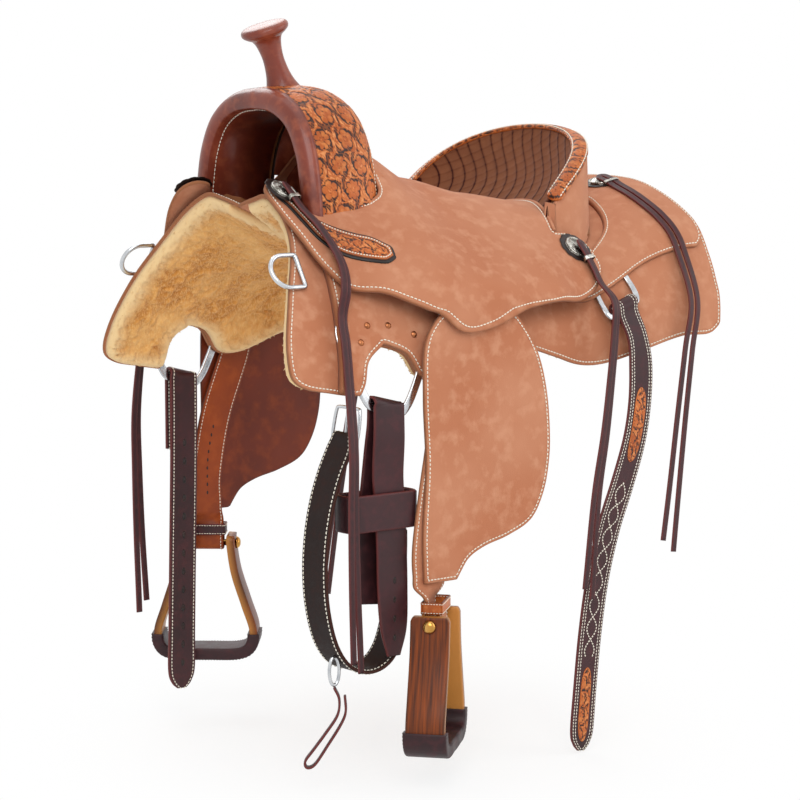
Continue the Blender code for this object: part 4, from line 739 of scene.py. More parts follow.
def carvedRelief(cell, depthMm, border=0.0055):
    # the same, kept inside a plain border with a cut line
    def relief(x, t, depth):
        carve = scrolls(x, np.abs(t), cell)
        plain = ease((border - depth) / 0.0006)
        line = np.exp(-((depth - border) / 0.0005) ** 2)
        carve = np.clip(carve * (1 - plain) + 0.75 * plain - 0.7 * line, 0, 1.2)
        return (carve - 0.8) * depthMm * 0.001, carve
    return relief


panelLook = {"skirtSpacing": 0.009, "patchCell": 0.015, "patchDepth": 0.6, "underlay": 0.0034}


def makePanels(v):
    # each layer lies between two heights above the form
    g = layers
    for name, side in sides.items():
        skirt = mirrored(outlines["skirt"], side)
        panel(f"skirtLeather_{name}", "saddle", skirt, -g["skirt"] - g["gap"], -g["gap"], roughout,
              [f"skirt_{name}"], spacing=v["skirtSpacing"])
        panel(f"riggingLeather_{name}", "saddle", mirrored(outlines["plate"], side), 0.0, g["plate"],
              roughout, [f"rigging_plate_{name}"], roundBy=0.0018)
        panel(f"frontPatch_{name}", "saddle", mirrored(outlines["patch"], side), overSeat(0.0015),
              overSeat(0.0038), tooled, [f"front_patch_{name}"], spacing=0.0012, stitchAt=0.003, pitch=0.0036,
              relief=carvedRelief(v["patchCell"], v["patchDepth"]))
        rim = insetLoop(spaced(smoothLoop(mirrored(outlines["patch"], side), 6), 0.0011, True),
                        -v["underlay"])
        around = runOf(rim, True)[:-1]
        middle = rim.mean(0)
        rim = middle + (rim - middle) * (1 + 0.010 * np.abs(np.sin(around * np.pi / 0.0052)))[:, None]
        panel(f"patchUnderlay_{name}", "saddle", rim, overSeat(0.0002), overSeat(0.0021), blackHide, (),
              spacing=0.004, stitchAt=None, steps=1)
    panel("seatLeather", "saddle", bothSides(outlines["seat"]), overSeat(-g["seat"]), seatHeight, roughout,
          ["seat_leather"], spacing=0.006, roundBy=0.002)
    panel("rearHousing", "saddle", bothSides(outlines["housing"]), 0.0, g["housing"], roughout,
          ["rear_housing"], spacing=0.006, roundBy=0.0022)


makePanels(panelLook)
print("leather panels made")

# ---- shells, straps, tubes and turned pieces


def shellOf(name, body, outer, inner, material, nodes=(), attributes=None, uv=None):
    # two grids of the same shape, joined round their four sides, become one closed shell
    n, m = outer.shape[:2]
    grid = np.arange(n * m).reshape(n, m)
    a, b, c, d = grid[:-1, :-1].ravel(), grid[1:, :-1].ravel(), grid[1:, 1:].ravel(), grid[:-1, 1:].ravel()
    top = np.stack([a, b, c, d], axis=1)
    ring = np.concatenate([grid[:-1, 0], grid[-1, :-1], grid[:0:-1, -1], grid[0, :0:-1]])
    after = np.roll(ring, -1)
    walls = np.stack([after, ring, ring + n * m, after + n * m], axis=1)
    faces = np.vstack([top, top[:, ::-1] + n * m, walls])
    points = np.vstack([outer.reshape(-1, 3), inner.reshape(-1, 3)])
    full = {key: np.r_[value.ravel(), np.zeros(n * m)] for key, value in (attributes or {}).items()}
    if uv is not None:
        uv = np.vstack([uv.reshape(-1, 2)] * 2)
    return attach(makePiece(name, points, facingOut(points, faces), material, uv, full), body, nodes)


def tubeOf(name, body, rings, material, nodes=(), closed=False, attributes=None, uv=None):
    # rings of points joined one after another; open ends get a fan to their middle
    n, m = rings.shape[:2]
    grid = np.arange(n * m).reshape(n, m)
    here = grid if closed else grid[:-1]
    there = np.roll(grid, -1, axis=0) if closed else grid[1:]
    a, b = here.ravel(), np.roll(here, -1, axis=1).ravel()
    c, d = np.roll(there, -1, axis=1).ravel(), there.ravel()
    faces = [np.stack([a, b, c], axis=1), np.stack([a, c, d], axis=1)]
    points = rings.reshape(-1, 3)
    full = {key: value.ravel() for key, value in (attributes or {}).items()}
    if not closed:
        points = np.vstack([points, rings[0].mean(0), rings[-1].mean(0)])
        first, last = grid[0], grid[-1]
        faces.append(np.stack([np.roll(first, -1), first, np.full(m, n * m)], axis=1))
        faces.append(np.stack([last, np.roll(last, -1), np.full(m, n * m + 1)], axis=1))
        full = {key: np.r_[value, value[0], value[-1]] for key, value in full.items()}
        uv = None if uv is None else np.vstack([uv.reshape(-1, 2), uv[0].mean(0), uv[-1].mean(0)])
    elif uv is not None:
        uv = uv.reshape(-1, 2)
    faces = np.vstack(faces)
    return attach(makePiece(name, points, facingOut(points, faces), material, uv, full), body, nodes)


def frameAlong(path, across, closed=False):
    # for each point: the way ahead, the way across made square to it, and the way up out of the strap
    ahead = np.roll(path, -1, axis=0) - np.roll(path, 1, axis=0) if closed else np.gradient(path, axis=0)
    ahead = unit(ahead)
    across = across - ahead * (across * ahead).sum(1)[:, None]
    across = unit(across)
    return ahead, across, np.cross(ahead, across)


def strap(name, body, path, across, wide, thick, material, nodes=(), closed=False, rows=(), faces=(1,),
          pitch=0.0048, edge=0.45, fine=0.003):
    # a band of leather or flat bar: its section is a rectangle with rounded edges of radius edge * thick
    path, across = np.array(path, float), np.array(across, float)
    if across.ndim == 1:
        across = np.tile(across, (len(path), 1))
    wide = np.broadcast_to(np.array(wide, float), (len(path),))
    knots = np.hstack([path, across * 0.01, wide[:, None]])
    if closed:
        line = spaced(smoothLine(np.vstack([knots[-2:], knots, knots[:2]]), 10)[20:-10], fine)[:-1]
    else:
        line = spaced(smoothLine(knots, 10), fine)
    path, across, wide = line[:, :3], line[:, 3:6], line[:, 6]
    _, side, up = frameAlong(path, across, closed)
    r = thick * edge
    corner = np.radians([0, 30, 60, 90])
    quarter = [(1, r * (1 - math.cos(a)), thick / 2 - r + r * math.sin(a))
               for a in corner] + [(1, 0.0035, thick / 2)]
    half = quarter + [(-s, i, b) for s, i, b in quarter[::-1]]
    section = np.array(half + [(-s, i, -b) for s, i, b in half])
    sign, inset, tall = section.T
    reach = np.maximum(wide[:, None] / 2 - inset[None], wide[:, None] * 0.1) * sign[None]
    worn = np.broadcast_to(np.exp(-inset / 0.0011), reach.shape)
    rings = path[:, None] + side[:, None] * reach[..., None] + up[:, None] * tall[None, :, None]
    uv = np.stack([np.broadcast_to(runOf(path)[:, None], reach.shape), reach + (tall[None] > 0) * 0.2],
                  axis=2)
    piece = tubeOf(name, body, rings, material, nodes, closed, {"cutEdge": worn.copy()}, uv)
    for row in rows:
        for face in faces:
            for hand in (-1, 1):
                keep = wide / 2 - row > 0.002
                places = path + side * (hand * (wide / 2 - row))[:, None] + up * face * thick / 2
                sewAlong(body, places[keep], up[keep] * face, pitch, min(0.00085, pitch * 0.15), closed)
    return piece


def wire(name, body, path, radius, material, nodes=(), closed=True, around=16, fine=0.0016, smooth=True):
    # a round bar: circles square to the path, in the frame of the plane that fits the path best
    path = np.array(path, float)
    if smooth:
        path = smoothLine(np.vstack([path[-2:], path, path[:2]]), 8)[16:-8] if closed else smoothLine(path, 8)
    path = spaced(path, fine)
    path = path[:-1] if closed else path
    middle = path.mean(0)
    flat = np.linalg.svd(path - middle)[2][2]
    _, side, up = frameAlong(path, np.tile(flat, (len(path), 1)), closed)
    a = np.linspace(0, 2 * np.pi, around, endpoint=False)
    rings = path[:, None] + radius * (side[:, None] * np.cos(a)[None, :, None]
                                      + up[:, None] * np.sin(a)[None, :, None])
    return tubeOf(name, body, rings, material, nodes, closed, {"cutEdge": np.zeros(rings.shape[:2])})


def turnedAt(axis):
    # rotation that takes the Z axis to the given axis
    return np.array(Vector((0, 0, 1)).rotation_difference(Vector(axis)).to_matrix())


def lathe(name, body, profile, at, axis, material, nodes=(), around=48, ripple=None, steps=5, smooth=True):
    # profile of (radius, height) turned round the axis; ripple scales the radius by angle and place along it
    profile = np.array(profile, float)
    profile = smoothLine(profile, steps) if smooth else profile
    profile[:, 0] = np.maximum(profile[:, 0], 1e-5)
    a = np.linspace(0, 2 * np.pi, around, endpoint=False)
    radius = np.broadcast_to(profile[:, :1], (len(profile), around)).copy()
    tall = np.broadcast_to(profile[:, 1:], (len(profile), around)).copy()
    if ripple is not None:
        radius, tall = ripple(radius, tall, a[None, :])
    rings = np.stack([radius * np.cos(a), radius * np.sin(a), tall], axis=2) @ turnedAt(axis).T + np.array(at)
    return tubeOf(name, body, rings, material, nodes, False, {"cutEdge": np.zeros(radius.shape)})


def skinAt(x, t, heights=0.0, lift=0.0):
    # point above the form, and the way out of the surface there from two differences
    def place(x, t):
        tall = heights(x, t) if callable(heights) else heights
        return onForm(x, t, tall + lift)
    x, t = np.asarray(x, float), np.asarray(t, float)
    out = np.cross(place(x + 0.004, t) - place(x - 0.004, t), place(x, t + 0.004) - place(x, t - 0.004))
    out = unit(out)
    return place(x, t), out * np.sign(out[..., 2:] * 0 + (out * sampled(formOut, x, t)).sum(-1)[..., None])


# ---- fleece

fleeceLook = {"spacing": 0.0056, "tuft": 0.0085, "tall": 0.0045, "round": 0.007, "rim": 0.022, "locks": 3000,
              "lockLong": 0.0056, "lockWide": 0.0016}


def finer(flat, faces):
    # each triangle becomes four, with one shared point in the middle of every side
    sides = np.sort(np.vstack([faces[:, [0, 1]], faces[:, [1, 2]], faces[:, [2, 0]]]), axis=1)
    ends, where = np.unique(sides, axis=0, return_inverse=True)
    ab, bc, ca = len(flat) + where.reshape(3, -1)
    a, b, c = faces.T
    parts = ((a, ab, ca), (ab, b, bc), (ca, bc, c), (ab, bc, ca))
    return np.vstack([flat, flat[ends].mean(1)]), np.vstack([np.stack(part, axis=1) for part in parts])


def makeFleece(v):
    # wool side: thickness rounds off at the rim, lumps of two sizes; then short curled locks stand on it
    top = -layers["skirt"] - 2 * layers["gap"]
    draw = np.random.default_rng(7)
    for name, side in sides.items():
        whole = np.array(mirrored(outlines["skirt"], side))
        whole = insetLoop(smoothLoop(whole, 4), 0.002)
        whole = whole[np.abs(whole[:, 1]) > 0.0004]
        flat, faces, loop = flatSheet(whole, v["spacing"], (0.002, 0.005, 0.009, 0.014), 0.014, 1)
        flat, faces = finer(flat, faces)
        depth = fromEdge(flat, loop)
        x, t = flat.T
        near = np.clip(1 - depth / v["round"], 0, 1)
        seat = onForm(x, t, np.full(len(x), top))
        bent = seat + (lumps(seat, v["tuft"] * 2, 5) - 0.5)[:, None] * v["tuft"]
        lump = np.abs(2 * lumps(bent, v["tuft"], 1) - 1) * 0.6 + np.abs(2 * lumps(bent, v["tuft"] * 0.5, 2)
                                                                        - 1) * 0.4
        lump = np.clip(lump / 0.6, 0, 1)
        thick = (layers["fleece"]
                 - 0.0015) * np.sqrt(1 - 0.80 * near ** 2) - v["tall"] * (1 - lump) * (1 - near)
        low = onForm(x, t, top - np.maximum(thick, 0.0015))
        points, shell = closeSheet(seat, low, faces)
        # locks: three-sided curled cones, four times as likely to grow within 16 mm of the rim
        weight = np.where(depth < 0.016, 4.0, 1.0)
        root = draw.choice(len(flat), v["locks"], p=weight / weight.sum())
        rx, rt = x[root], t[root]
        nearest = np.argmin(((flat[root][:, None] - loop[None, ::4]) ** 2).sum(2), axis=1)
        away = loop[::4][nearest] - flat[root]
        away = unit(away)
        edge = near[root][:, None]
        base = onForm(rx, rt, top - thick[root] * 0.93)
        out = -sampled(formOut, rx, rt)
        over = onForm(rx + away[:, 0] * 0.01, rt + away[:, 1] * 0.01,
                      top - thick[root]) - onForm(rx, rt, top - thick[root])
        over = unit(over)
        way = out * (1 - 0.9 * edge) + over * edge * 0.5 + draw.normal(0, 0.45, (v["locks"], 3))
        way = unit(way)
        bend = draw.normal(0, 0.8, (v["locks"], 3))
        long = v["lockLong"] * draw.uniform(0.35, 0.8, v["locks"])[:, None] * (1 - 0.35 * edge)
        rings = []
        for s, wide in ((0.0, 1.0), (0.35, 1.15), (0.7, 0.8), (1.0, 0.1)):
            middle = base + (way * s + bend * 0.5 * s * s) * long * 0.7
            u = np.cross(way, bend)
            u = unit(u)
            w = np.cross(way, u)
            rings.append(np.stack([middle + v["lockWide"] / 2 * wide * (u * math.cos(q) + w * math.sin(q))
                                   for q in (0.0, 2.094, 4.189)], axis=1))
        rings = np.stack(rings, axis=1)
        first = len(points) + np.arange(v["locks"])[:, None] * 12
        k = np.arange(9).reshape(3, 3)
        around = np.roll(np.arange(3), -1)
        quads = np.stack([k, k[:, around], k[:, around] + 3, k + 3], axis=2).reshape(-1, 4)
        tris = np.vstack([quads[:, :3], quads[:, [0, 2, 3]], [[2, 1, 0]], [[9, 10, 11]]])
        lockFaces = (first[:, :, None] + tris[None]).reshape(-1, 3)
        allPoints = np.vstack([points, rings.reshape(-1, 3)])
        # colour follows the pile's lumps, painted shade in its hollows; each of the locks gets a random tone
        hollowShadeAndLockTone = np.r_[lump, lump, np.repeat(draw.uniform(0.55, 1.0, v["locks"]), 12)]
        pale = ease(1.15 - depth / v["rim"] + (lumps(seat, 0.02, 3) - 0.5) * 0.5)
        pale = np.r_[pale, pale, np.repeat(pale[root], 12)]
        piece = makePiece(f"fleeceLining_{name}", allPoints, np.vstack([shell, lockFaces]), fleece, None,
                          {"lockToneAndHollowShade": hollowShadeAndLockTone, "rim": pale})
        attach(piece, "saddle", [f"fleece_{name}"])


makeFleece(fleeceLook)
print("fleece made")

# ---- fork, gullet and horn

forkShape = {
    "arch": [(0.0, 0.1985), (0.040, 0.194), (0.074, 0.175), (0.094, 0.142), (0.103, 0.105), (0.107, 0.070),
             (0.111, 0.0)],
    "outside": [(-0.240, 0.0135), (-0.236, 0.0205), (-0.222, 0.0275), (-0.192, 0.0315), (-0.162, 0.0300),
                (-0.142, 0.0225), (-0.132, 0.0120), (-0.1285, 0.0050)],
    "cover": 0.0040, "gullet": 0.0040, "gulletRear": -0.142, "legs": 0.048, "flower": 0.034, "relief": 0.9}
hornShape = {"lean": math.radians(20), "at": (-0.188, 0.0, 0.212), "cap": 0.031, "neck": 0.0135,
             "tall": 0.100}


def archLine(points):
    # half of the arch mirrored into the whole, with the way along it
    half = smoothLine(forkShape["arch"], points)
    line = np.vstack([half[:0:-1] * (-1, 1), half])
    ahead = unit(np.gradient(line, axis=0))
    return line, ahead


def alongArch(section, line, ahead):
    # each section point (along, out) stands square to the arch's line
    x, out = section[:, 0], section[:, 1]
    y = line[:, :1] - ahead[:, 1:] * out
    z = line[:, 1:] + ahead[:, :1] * out
    return np.stack([np.broadcast_to(x, y.shape), y, z], axis=2)


def makeFork(v):
    # the section of the swells carried over the arch and carved, then the rolled gullet in front
    line, ahead = archLine(8)
    line = line[line[:, 1] > v["legs"]]
    line = spaced(line, 0.0014)
    ahead = unit(np.gradient(line, axis=0))
    outside = spaced(smoothLine(v["outside"], 8), 0.0013)
    way = unit(np.gradient(outside, axis=0))
    inner = outside + v["cover"] * np.stack([way[:, 1], -way[:, 0]], axis=1)
    u = runOf(line)[:, None] - runOf(line)[-1] / 2
    w = runOf(outside)[None, :] + 0 * u
    u = u + 0 * w
    depth = np.minimum(w, runOf(outside)[-1] - w)
    carve = scrolls(w + 0.004, u, v["flower"])
    border = ease((0.0085 - depth) / 0.0006)
    cuts = np.exp(-((depth - 0.0085) / 0.0005) ** 2) + np.exp(-((depth - 0.0045) / 0.0004) ** 2) * 0.5
    carve = np.clip(carve * (1 - border) + 0.8 * border - 0.7 * cuts, 0, 1.2)
    outer = alongArch(outside, line, ahead)
    under = alongArch(inner, line, ahead)
    out = outer - under
    out = unit(out)
    worn = np.exp(-depth / 0.0012)
    drop = (carve - 0.9) * v["relief"] * 0.001 - 0.0012 * worn
    shellOf("forkCoverCarved", "saddle", outer + out * drop[..., None], under, tooled, ["fork_cover"],
            {"cutEdge": worn, "carving": carve}, np.stack([w, u], axis=2))
    front = v["outside"][0][0]
    thick = v["gullet"]
    lip = np.array([(v["gulletRear"], 0.0), (front + 0.02, 0.0), (front - 0.0005, 0.0004),
                    (front - 0.0030, 0.0024), (front - 0.0042, 0.0060), (front - 0.0045, 0.0110),
                    (front - 0.0038, 0.0165), (front - 0.0018, 0.0208), (front + 0.0015, 0.0238),
                    (front + 0.0060, 0.0262), (front + 0.0115, 0.0279), (front + 0.0118, 0.0262),
                    (front + 0.0060, 0.0222), (front + 0.0020, 0.0170), (front + 0.0005, 0.008),
                    (front + 0.0010, thick + 0.0005), (front + 0.006, thick), (v["gulletRear"], thick)])
    rings = alongArch(lip, line, ahead)
    tubeOf("gulletRoll", "saddle", rings, mahogany, ["gullet_cover"], False,
           {"cutEdge": np.zeros(rings.shape[:2])})
    row = alongArch(np.array([(-0.1325, 0.0128)]), line, ahead)
    sewAlong("saddle", row[:, 0], out[:, -4], 0.0046, 0.0007)
    inside = alongArch(np.array([(front + 0.010, -0.0002)]), line, ahead)[:, 0]
    into = -np.stack([np.zeros(len(line)), -ahead[:, 1], ahead[:, 0]], axis=1)
    sewAlong("saddle", inside, into, 0.0055, 0.0007)


def makeHorn(v):
    # a turned profile of cap and neck, leaning forward
    tall, cap, neck = v["tall"], v["cap"], v["neck"]
    lean = (-math.sin(v["lean"]), 0, math.cos(v["lean"]))
    profile = [(0.0, tall - 0.0006), (0.012, tall - 0.0004), (0.022, tall - 0.0008),
               (cap - 0.003, tall - 0.0022), (cap, tall - 0.006), (cap - 0.001, tall - 0.011),
               (0.0250, tall - 0.0152), (0.0195, tall - 0.019), (0.0158, tall - 0.028), (neck, tall - 0.045),
               (0.0150, tall - 0.064), (0.0185, tall - 0.078), (0.0235, tall - 0.090), (0.0235, 0.0),
               (0.0, 0.0)]
    lathe("hornWrapped", "saddle", profile, v["at"], lean, mahogany, ["horn"], 64)


def makeRise(v):
    # the seat's front climbs to the back of the fork: roughout behind, glazed leather in front
    y = np.linspace(-0.1040, 0.1040, 121)
    arch = smoothLine(v["arch"], 12)
    high = np.interp(np.abs(y), arch[:, 0], arch[:, 1]) + 0.0045
    low = smoothLine(seatShape["sections"][3], 12)
    low = np.interp(np.abs(y), low[:, 0], low[:, 1]) - 0.001
    share = np.r_[0.0, np.linspace(0, 1, 24)][None]
    curve = 1 - (1 - share) ** 1.6
    x = -0.1075 - 0.0215 * curve
    z = low[:, None] + (np.maximum(high, low + 0.001) - low)[:, None] * share ** 1.25
    z[:, 0] -= 0.060
    back = np.stack([x + 0 * z, y[:, None] + 0 * z, z], axis=2)
    for name, shift, material in (("seatRise", 0.0, roughout), ("gulletBack", -0.0022, mahogany)):
        outer = back + np.array([shift, 0, shift * 0.5])
        shellOf(name, "saddle", outer, outer - np.array([0.0020, 0, 0.0010]), material, (),
                {"cutEdge": 0 * z})


makeFork(forkShape)
makeRise(forkShape)
makeHorn(hornShape)
print("fork and horn made")

# ---- cantle

cantleShape = {"end": (0.119, 0.158, 0.066), "top": (0.243, 0.0, 0.176), "plan": 0.70, "rise": 0.55,
               "inlay": 0.004, "wide": 0.024, "thick": 0.010, "back": 0.0035, "quilt": 0.020}


def cantleRim(turn):
    # place = end + (top - end) * cos^power of the turn, so the rim is steep at its ends and flat on top
    c = np.maximum(np.cos(turn * np.pi / 2), 0)
    s = np.sin(turn * np.pi / 2)
    v = cantleShape
    place = np.stack([v["end"][0] + (v["top"][0] - v["end"][0]) * c ** v["plan"], v["end"][1] * s,
                      v["end"][2] + (v["top"][2] - v["end"][2]) * c ** v["rise"]], axis=-1)
    out = np.stack([np.maximum(c, 0.12) ** 0.5, 0.9 * s, 0 * s], axis=-1)
    return place, unit(out)


def formTop(x, y):
    # height of the form under each point, from its column's own line
    columns = np.clip(np.round((x - gridX[0]) / (gridX[1] - gridX[0])).astype(int), 0, len(gridX) - 1)
    return np.array([np.interp(v, formPlace[c, :, 1], formPlace[c, :, 2]) for c, v in zip(columns, y)])


def makeCantle(v):
    # a dished quilted face from foot to rim, a back leather, closed ends, the carved binding and a welt
    turns = np.sin(np.linspace(-0.97, 0.97, 281) * np.pi / 2) * 0.5 + np.linspace(-0.97, 0.97, 281) * 0.5
    rim, out = cantleRim(turns)
    c = np.cos(turns * np.pi / 2)
    top = rim - out * 0.0075 - np.array([0, 0, 0.0025])
    foot = np.stack([v["end"][0] + 0.002 + (0.161 - v["end"][0] - 0.002) * np.maximum(c, 0) ** 0.8,
                     (v["end"][1] - 0.006) * np.sin(turns * np.pi / 2), 0.058 + 0.010 * c - 0.004 * c * c],
                     axis=1)
    share = np.linspace(0, 1, 88)[None, :, None]
    back = out * 0.82 + np.array([0, 0, -0.57])
    place = foot[:, None] + (top - foot)[:, None] * share
    sag = 0.010 * c[:, None, None] * 4 * share * (1 - share)
    face = place + back[:, None] * sag
    u = face[..., 1]
    w = np.linalg.norm(top - foot, axis=1)[:, None] * share[..., 0] - 0.05
    size = v["quilt"]
    first = np.abs(((u - 0.35 * w + 0.010 * np.cos(w * 45)) / size + 0.5) % 1 - 0.5) * size
    second = np.abs(((w + u * 0.55) / (size * 0.8) + 0.5) % 1 - 0.5) * size * 0.8
    puff = 1 - np.exp(-(first / 0.0040) ** 1.5) - 0.35 * np.exp(-(second / 0.0030) ** 2)
    carve = 1 - np.exp(-(first / 0.0014) ** 2) - 0.30 * np.exp(-(second / 0.0012) ** 2)
    front = face - back[:, None] * (puff[..., None] - 1.0) * -0.0012
    piece = shellOf("cantleQuilt", "saddle", front, face + back[:, None] * v["inlay"], quilted,
                    ["seat_inlay"], {"carving": carve, "cutEdge": 0 * carve})
    thick = 0.004 + 0.010 * np.maximum(c, 0) ** 0.5
    topBack = (face[:, -1] + back * (v["inlay"] + 0.0006) + out * (thick + 0.0006)[:, None]
               + np.array([0, 0, 0.0005]))
    lowBack = topBack + out * 0.004
    lowBack[:, 2] = formTop(lowBack[:, 0], lowBack[:, 1]) + 0.004
    rows = np.linspace(0, 1, 30)[None, :, None]
    outer = (topBack[:, None] * (1 - rows) + lowBack[:, None] * rows) + out[:, None] * v["back"]
    shellOf("cantleBackLeather", "saddle", outer, outer - out[:, None] * v["back"], roughout, ["cantle_back"],
            {"cutEdge": np.zeros(outer.shape[:2])})
    for name, k in (("near", 0), ("far", -1)):
        first = face[k][np.linspace(face.shape[1] - 1, 0, 30).astype(int)]
        share = np.linspace(-0.05, 1, 8)[None, :, None]
        grid = first[:, None] * (1 - share) + outer[k][:, None] * share + out[k] * 0.0012
        shellOf(f"cantleEnd_{name}", "saddle", grid, grid - out[k] * 0.002, roughout, (),
                {"cutEdge": np.zeros(grid.shape[:2])})
    path = rim + out * 0.002
    side = out + np.array([0, 0, -0.15])
    line = spaced(np.hstack([path, side * 0.01]), 0.0016)
    _, across, up = frameAlong(line[:, :3], line[:, 3:])
    up = up * np.sign(up[:, 2:])
    a = np.linspace(0, 2 * np.pi, 56, endpoint=False)
    run = runOf(line[:, :3])
    ends = np.sqrt(np.clip(np.minimum(run, run[-1] - run) / 0.005, 0.02, 1))
    carve = scrolls(run[:, None] + 0 * a[None], np.abs((a[None] / np.pi + 1) % 2 - 1) * 0.024 + 0.011, 0.026)
    carve = np.where(np.sin(a)[None] > -0.35, carve, 0.9)
    grow = 1 + (carve - 1) * 0.0006 / 0.008
    rings = line[:, None, :3] + (across[:, None] * (np.cos(a)[None] * grow * v["wide"] / 2)[..., None]
                                 + up[:, None] * (np.sin(a)[None] * grow * v["thick"] / 2)[..., None]) * ends[:, None, None]
    tubeOf("cantleBindingCarved", "saddle", rings, tooled, ["cantle_binding"], False,
           {"carving": carve, "cutEdge": 0 * carve})
    for hand in (-1, 1):
        places = line[:, :3] + across * hand * v["wide"] * 0.40 + up * v["thick"] * 0.5 * math.sqrt(1 - 0.64)
        sewAlong("saddle", places[6:-6], (up + across * hand * 0.8)[6:-6], 0.0050)
    order = np.array([(0.119, 0.157), (0.128, 0.130), (0.146, 0.085), (0.155, 0.040), (0.157, 0.0),
                      (0.155, -0.040), (0.146, -0.085), (0.128, -0.130), (0.119, -0.157)])
    roll = smoothLine(order, 10)
    places = onForm(roll[:, 0] + 0.0015, roll[:, 1], seatHeight(roll[:, 0], roll[:, 1]) + 0.0004)
    wire("cantleWelt", "saddle", places, 0.0022, roughout, (), False, 12, 0.003, False)


makeCantle(cantleShape)
print("cantle made")

# ---- metal on the saddle

metalShape = {"deeBand": 0.0115, "ringBand": 0.0085, "ringThick": 0.0036, "breastAt": (-0.2885, 0.212),
              "breastWide": 0.044, "breastLong": 0.042, "breastWire": 0.0030, "concho": 0.0168,
              "rosette": 0.0240, "rivets": [(-0.236, 0.296), (-0.222, 0.271), (-0.193, 0.265),
                                            (-0.160, 0.271), (-0.137, 0.296)]}
conchoAt = {"front": (-0.264, 0.0935), "cantle": (0.1405, 0.182), "rear": (0.315, 0.055)}


def ringHeight(x, t):
    # the rear ring leaves the skirt below the housing
    return layers["gap"] + 0.0076 * np.maximum(0, (np.abs(t) - 0.240) / 0.030)


def frontHeight(x, t):
    # the front dee lies just above the skirt
    return np.full(np.shape(x), layers["gap"])


def flatRing(name, outline, side, width, heights, thick, node):
    # flat bar bent to the outline: its middle line is set in by half the bar's width
    middle = spaced(insetLoop(smoothLoop(mirrored(outline, side), 8), width / 2), 0.003, True)
    x, t = middle.T
    place, out = skinAt(x, t, heights, thick / 2)
    ahead = np.roll(place, -1, axis=0) - np.roll(place, 1, axis=0)
    strap(name, "saddle", place, np.cross(ahead / np.linalg.norm(ahead, axis=1)[:, None], out), width, thick,
          steel, [node], closed=True, edge=0.42)


def makeConcho(name, kind, side, heights, lift):
    # domed disc with a rope edge and a wreath of leaves, on a scalloped rosette of black leather
    x, t = conchoAt[kind]
    place, out = skinAt(np.array([x]), np.array([side * t]), heights, lift)
    place, out = place[0], out[0]
    r = metalShape["concho"]
    profile = [(0.0, 0.0052), (r * 0.16, 0.0051), (r * 0.20, 0.0043), (r * 0.34, 0.0044), (r * 0.62, 0.0038),
               (r * 0.80, 0.0026), (r * 0.84, 0.0024), (r * 0.90, 0.0033), (r * 0.97, 0.0031), (r, 0.0018),
               (r * 0.97, 0.0006), (r * 0.9, 0.0), (0.0, 0.0)]

    def ripple(radius, tall, a):
        share = radius / r
        rope = np.exp(-((share - 0.93) / 0.05) ** 2) * 0.0004 * np.cos(44 * a + share * 30)
        leaves = np.exp(-((share - 0.55) / 0.16) ** 2) * 0.0005 * np.cos(12 * a + 5 * np.sin(share * 12))
        return radius, tall + (rope + leaves) * (tall > 0.0015)
    lathe(f"concho{kind.capitalize()}_{name}", "saddle", profile, place + out * 0.0009, out, silver,
          [f"{kind}_concho_{name}"], 176, ripple, 6)
    w = metalShape["rosette"]
    flat = [(0.0, 0.0009), (w * 0.80, 0.0009), (w * 0.94, 0.0008), (w, 0.0004), (w * 0.96, 0.0), (0.0, 0.0)]

    def scallops(radius, tall, a):
        return radius * (1 + 0.055 * np.abs(np.cos(6 * a)) * (radius > w * 0.7)), tall
    lathe(f"rosette{kind.capitalize()}_{name}", "saddle", flat, place + out * 0.0002, out, blackHide, (), 120,
          scallops, 3, False)


def makeBreastDee(name, side, v):
    # a round wire: straight bar in its clip, two arms and a half circle
    x, t = v["breastAt"]
    place, out = skinAt(np.array([x]), np.array([side * t]))
    place, out = place[0], out[0]
    down = (skinAt(np.array([x]), np.array([side * (t + 0.004)]))[0]
            - skinAt(np.array([x]), np.array([side * (t - 0.004)]))[0])[0]
    down = unit(down)
    ahead = np.cross(out, down)
    ahead = ahead if ahead[0] < 0 else -ahead
    base = place + out * (v["breastWire"] + 0.0001)
    half = v["breastWide"] / 2
    arm = v["breastLong"] - half
    a = np.linspace(0, np.pi, 40)
    flat = [(-half + 0.003, 0), (-half / 2, 0), (half / 2, 0), (half - 0.003, 0), (half - 0.0008, 0.0008),
            (half, 0.003), (half, arm * 0.6)]
    flat += list(zip(half * np.cos(a), arm + half * np.sin(a)))
    flat += [(-half, arm * 0.6), (-half, 0.003), (-half + 0.0008, 0.0008)]
    flat = np.array(flat)
    path = base + flat[:, :1] * down + flat[:, 1:] * ahead
    wire(f"breastDee_{name}", f"breast_dee_{name}", path, v["breastWire"], steel, [f"breast_dee_{name}"],
         True, 20, 0.0014, False)


def makeRivets(name, side, v):
    # copper rivets that hold the rigging plate, each a low dome
    for k, (x, t) in enumerate(v["rivets"]):
        place, out = skinAt(np.array([x]), np.array([side * t]), layers["plate"])
        lathe(f"plateRivet{k}_{name}", "saddle",
              [(0, 0.0024), (0.0018, 0.0022), (0.0034, 0.0012), (0.0040, 0.0002), (0, -0.0003)], place[0],
              out[0], copper, (), 20, None, 3)


def makeMetal(v):
    # dees, rings, rivets and conchos of both sides
    def patchTop(x, t):
        return seatHeight(x, t) + layers["patch"] + 0.0003
    for name, side in sides.items():
        flatRing(f"rigDee_{name}", outlines["frontDee"], side, v["deeBand"], frontHeight, layers["dee"],
                 f"front_rig_ring_{name}")
        flatRing(f"rearRing_{name}", outlines["rearDee"], side, v["ringBand"], ringHeight, v["ringThick"],
                 f"rear_rig_ring_{name}")
        makeBreastDee(name, side, v)
        makeRivets(name, side, v)
        makeConcho(name, "front", side, patchTop, 0.0)
        makeConcho(name, "cantle", side, seatHeight, 0.0)
        makeConcho(name, "rear", side, layers["housing"], 0.0)


makeMetal(metalShape)
print("rings and conchos made")

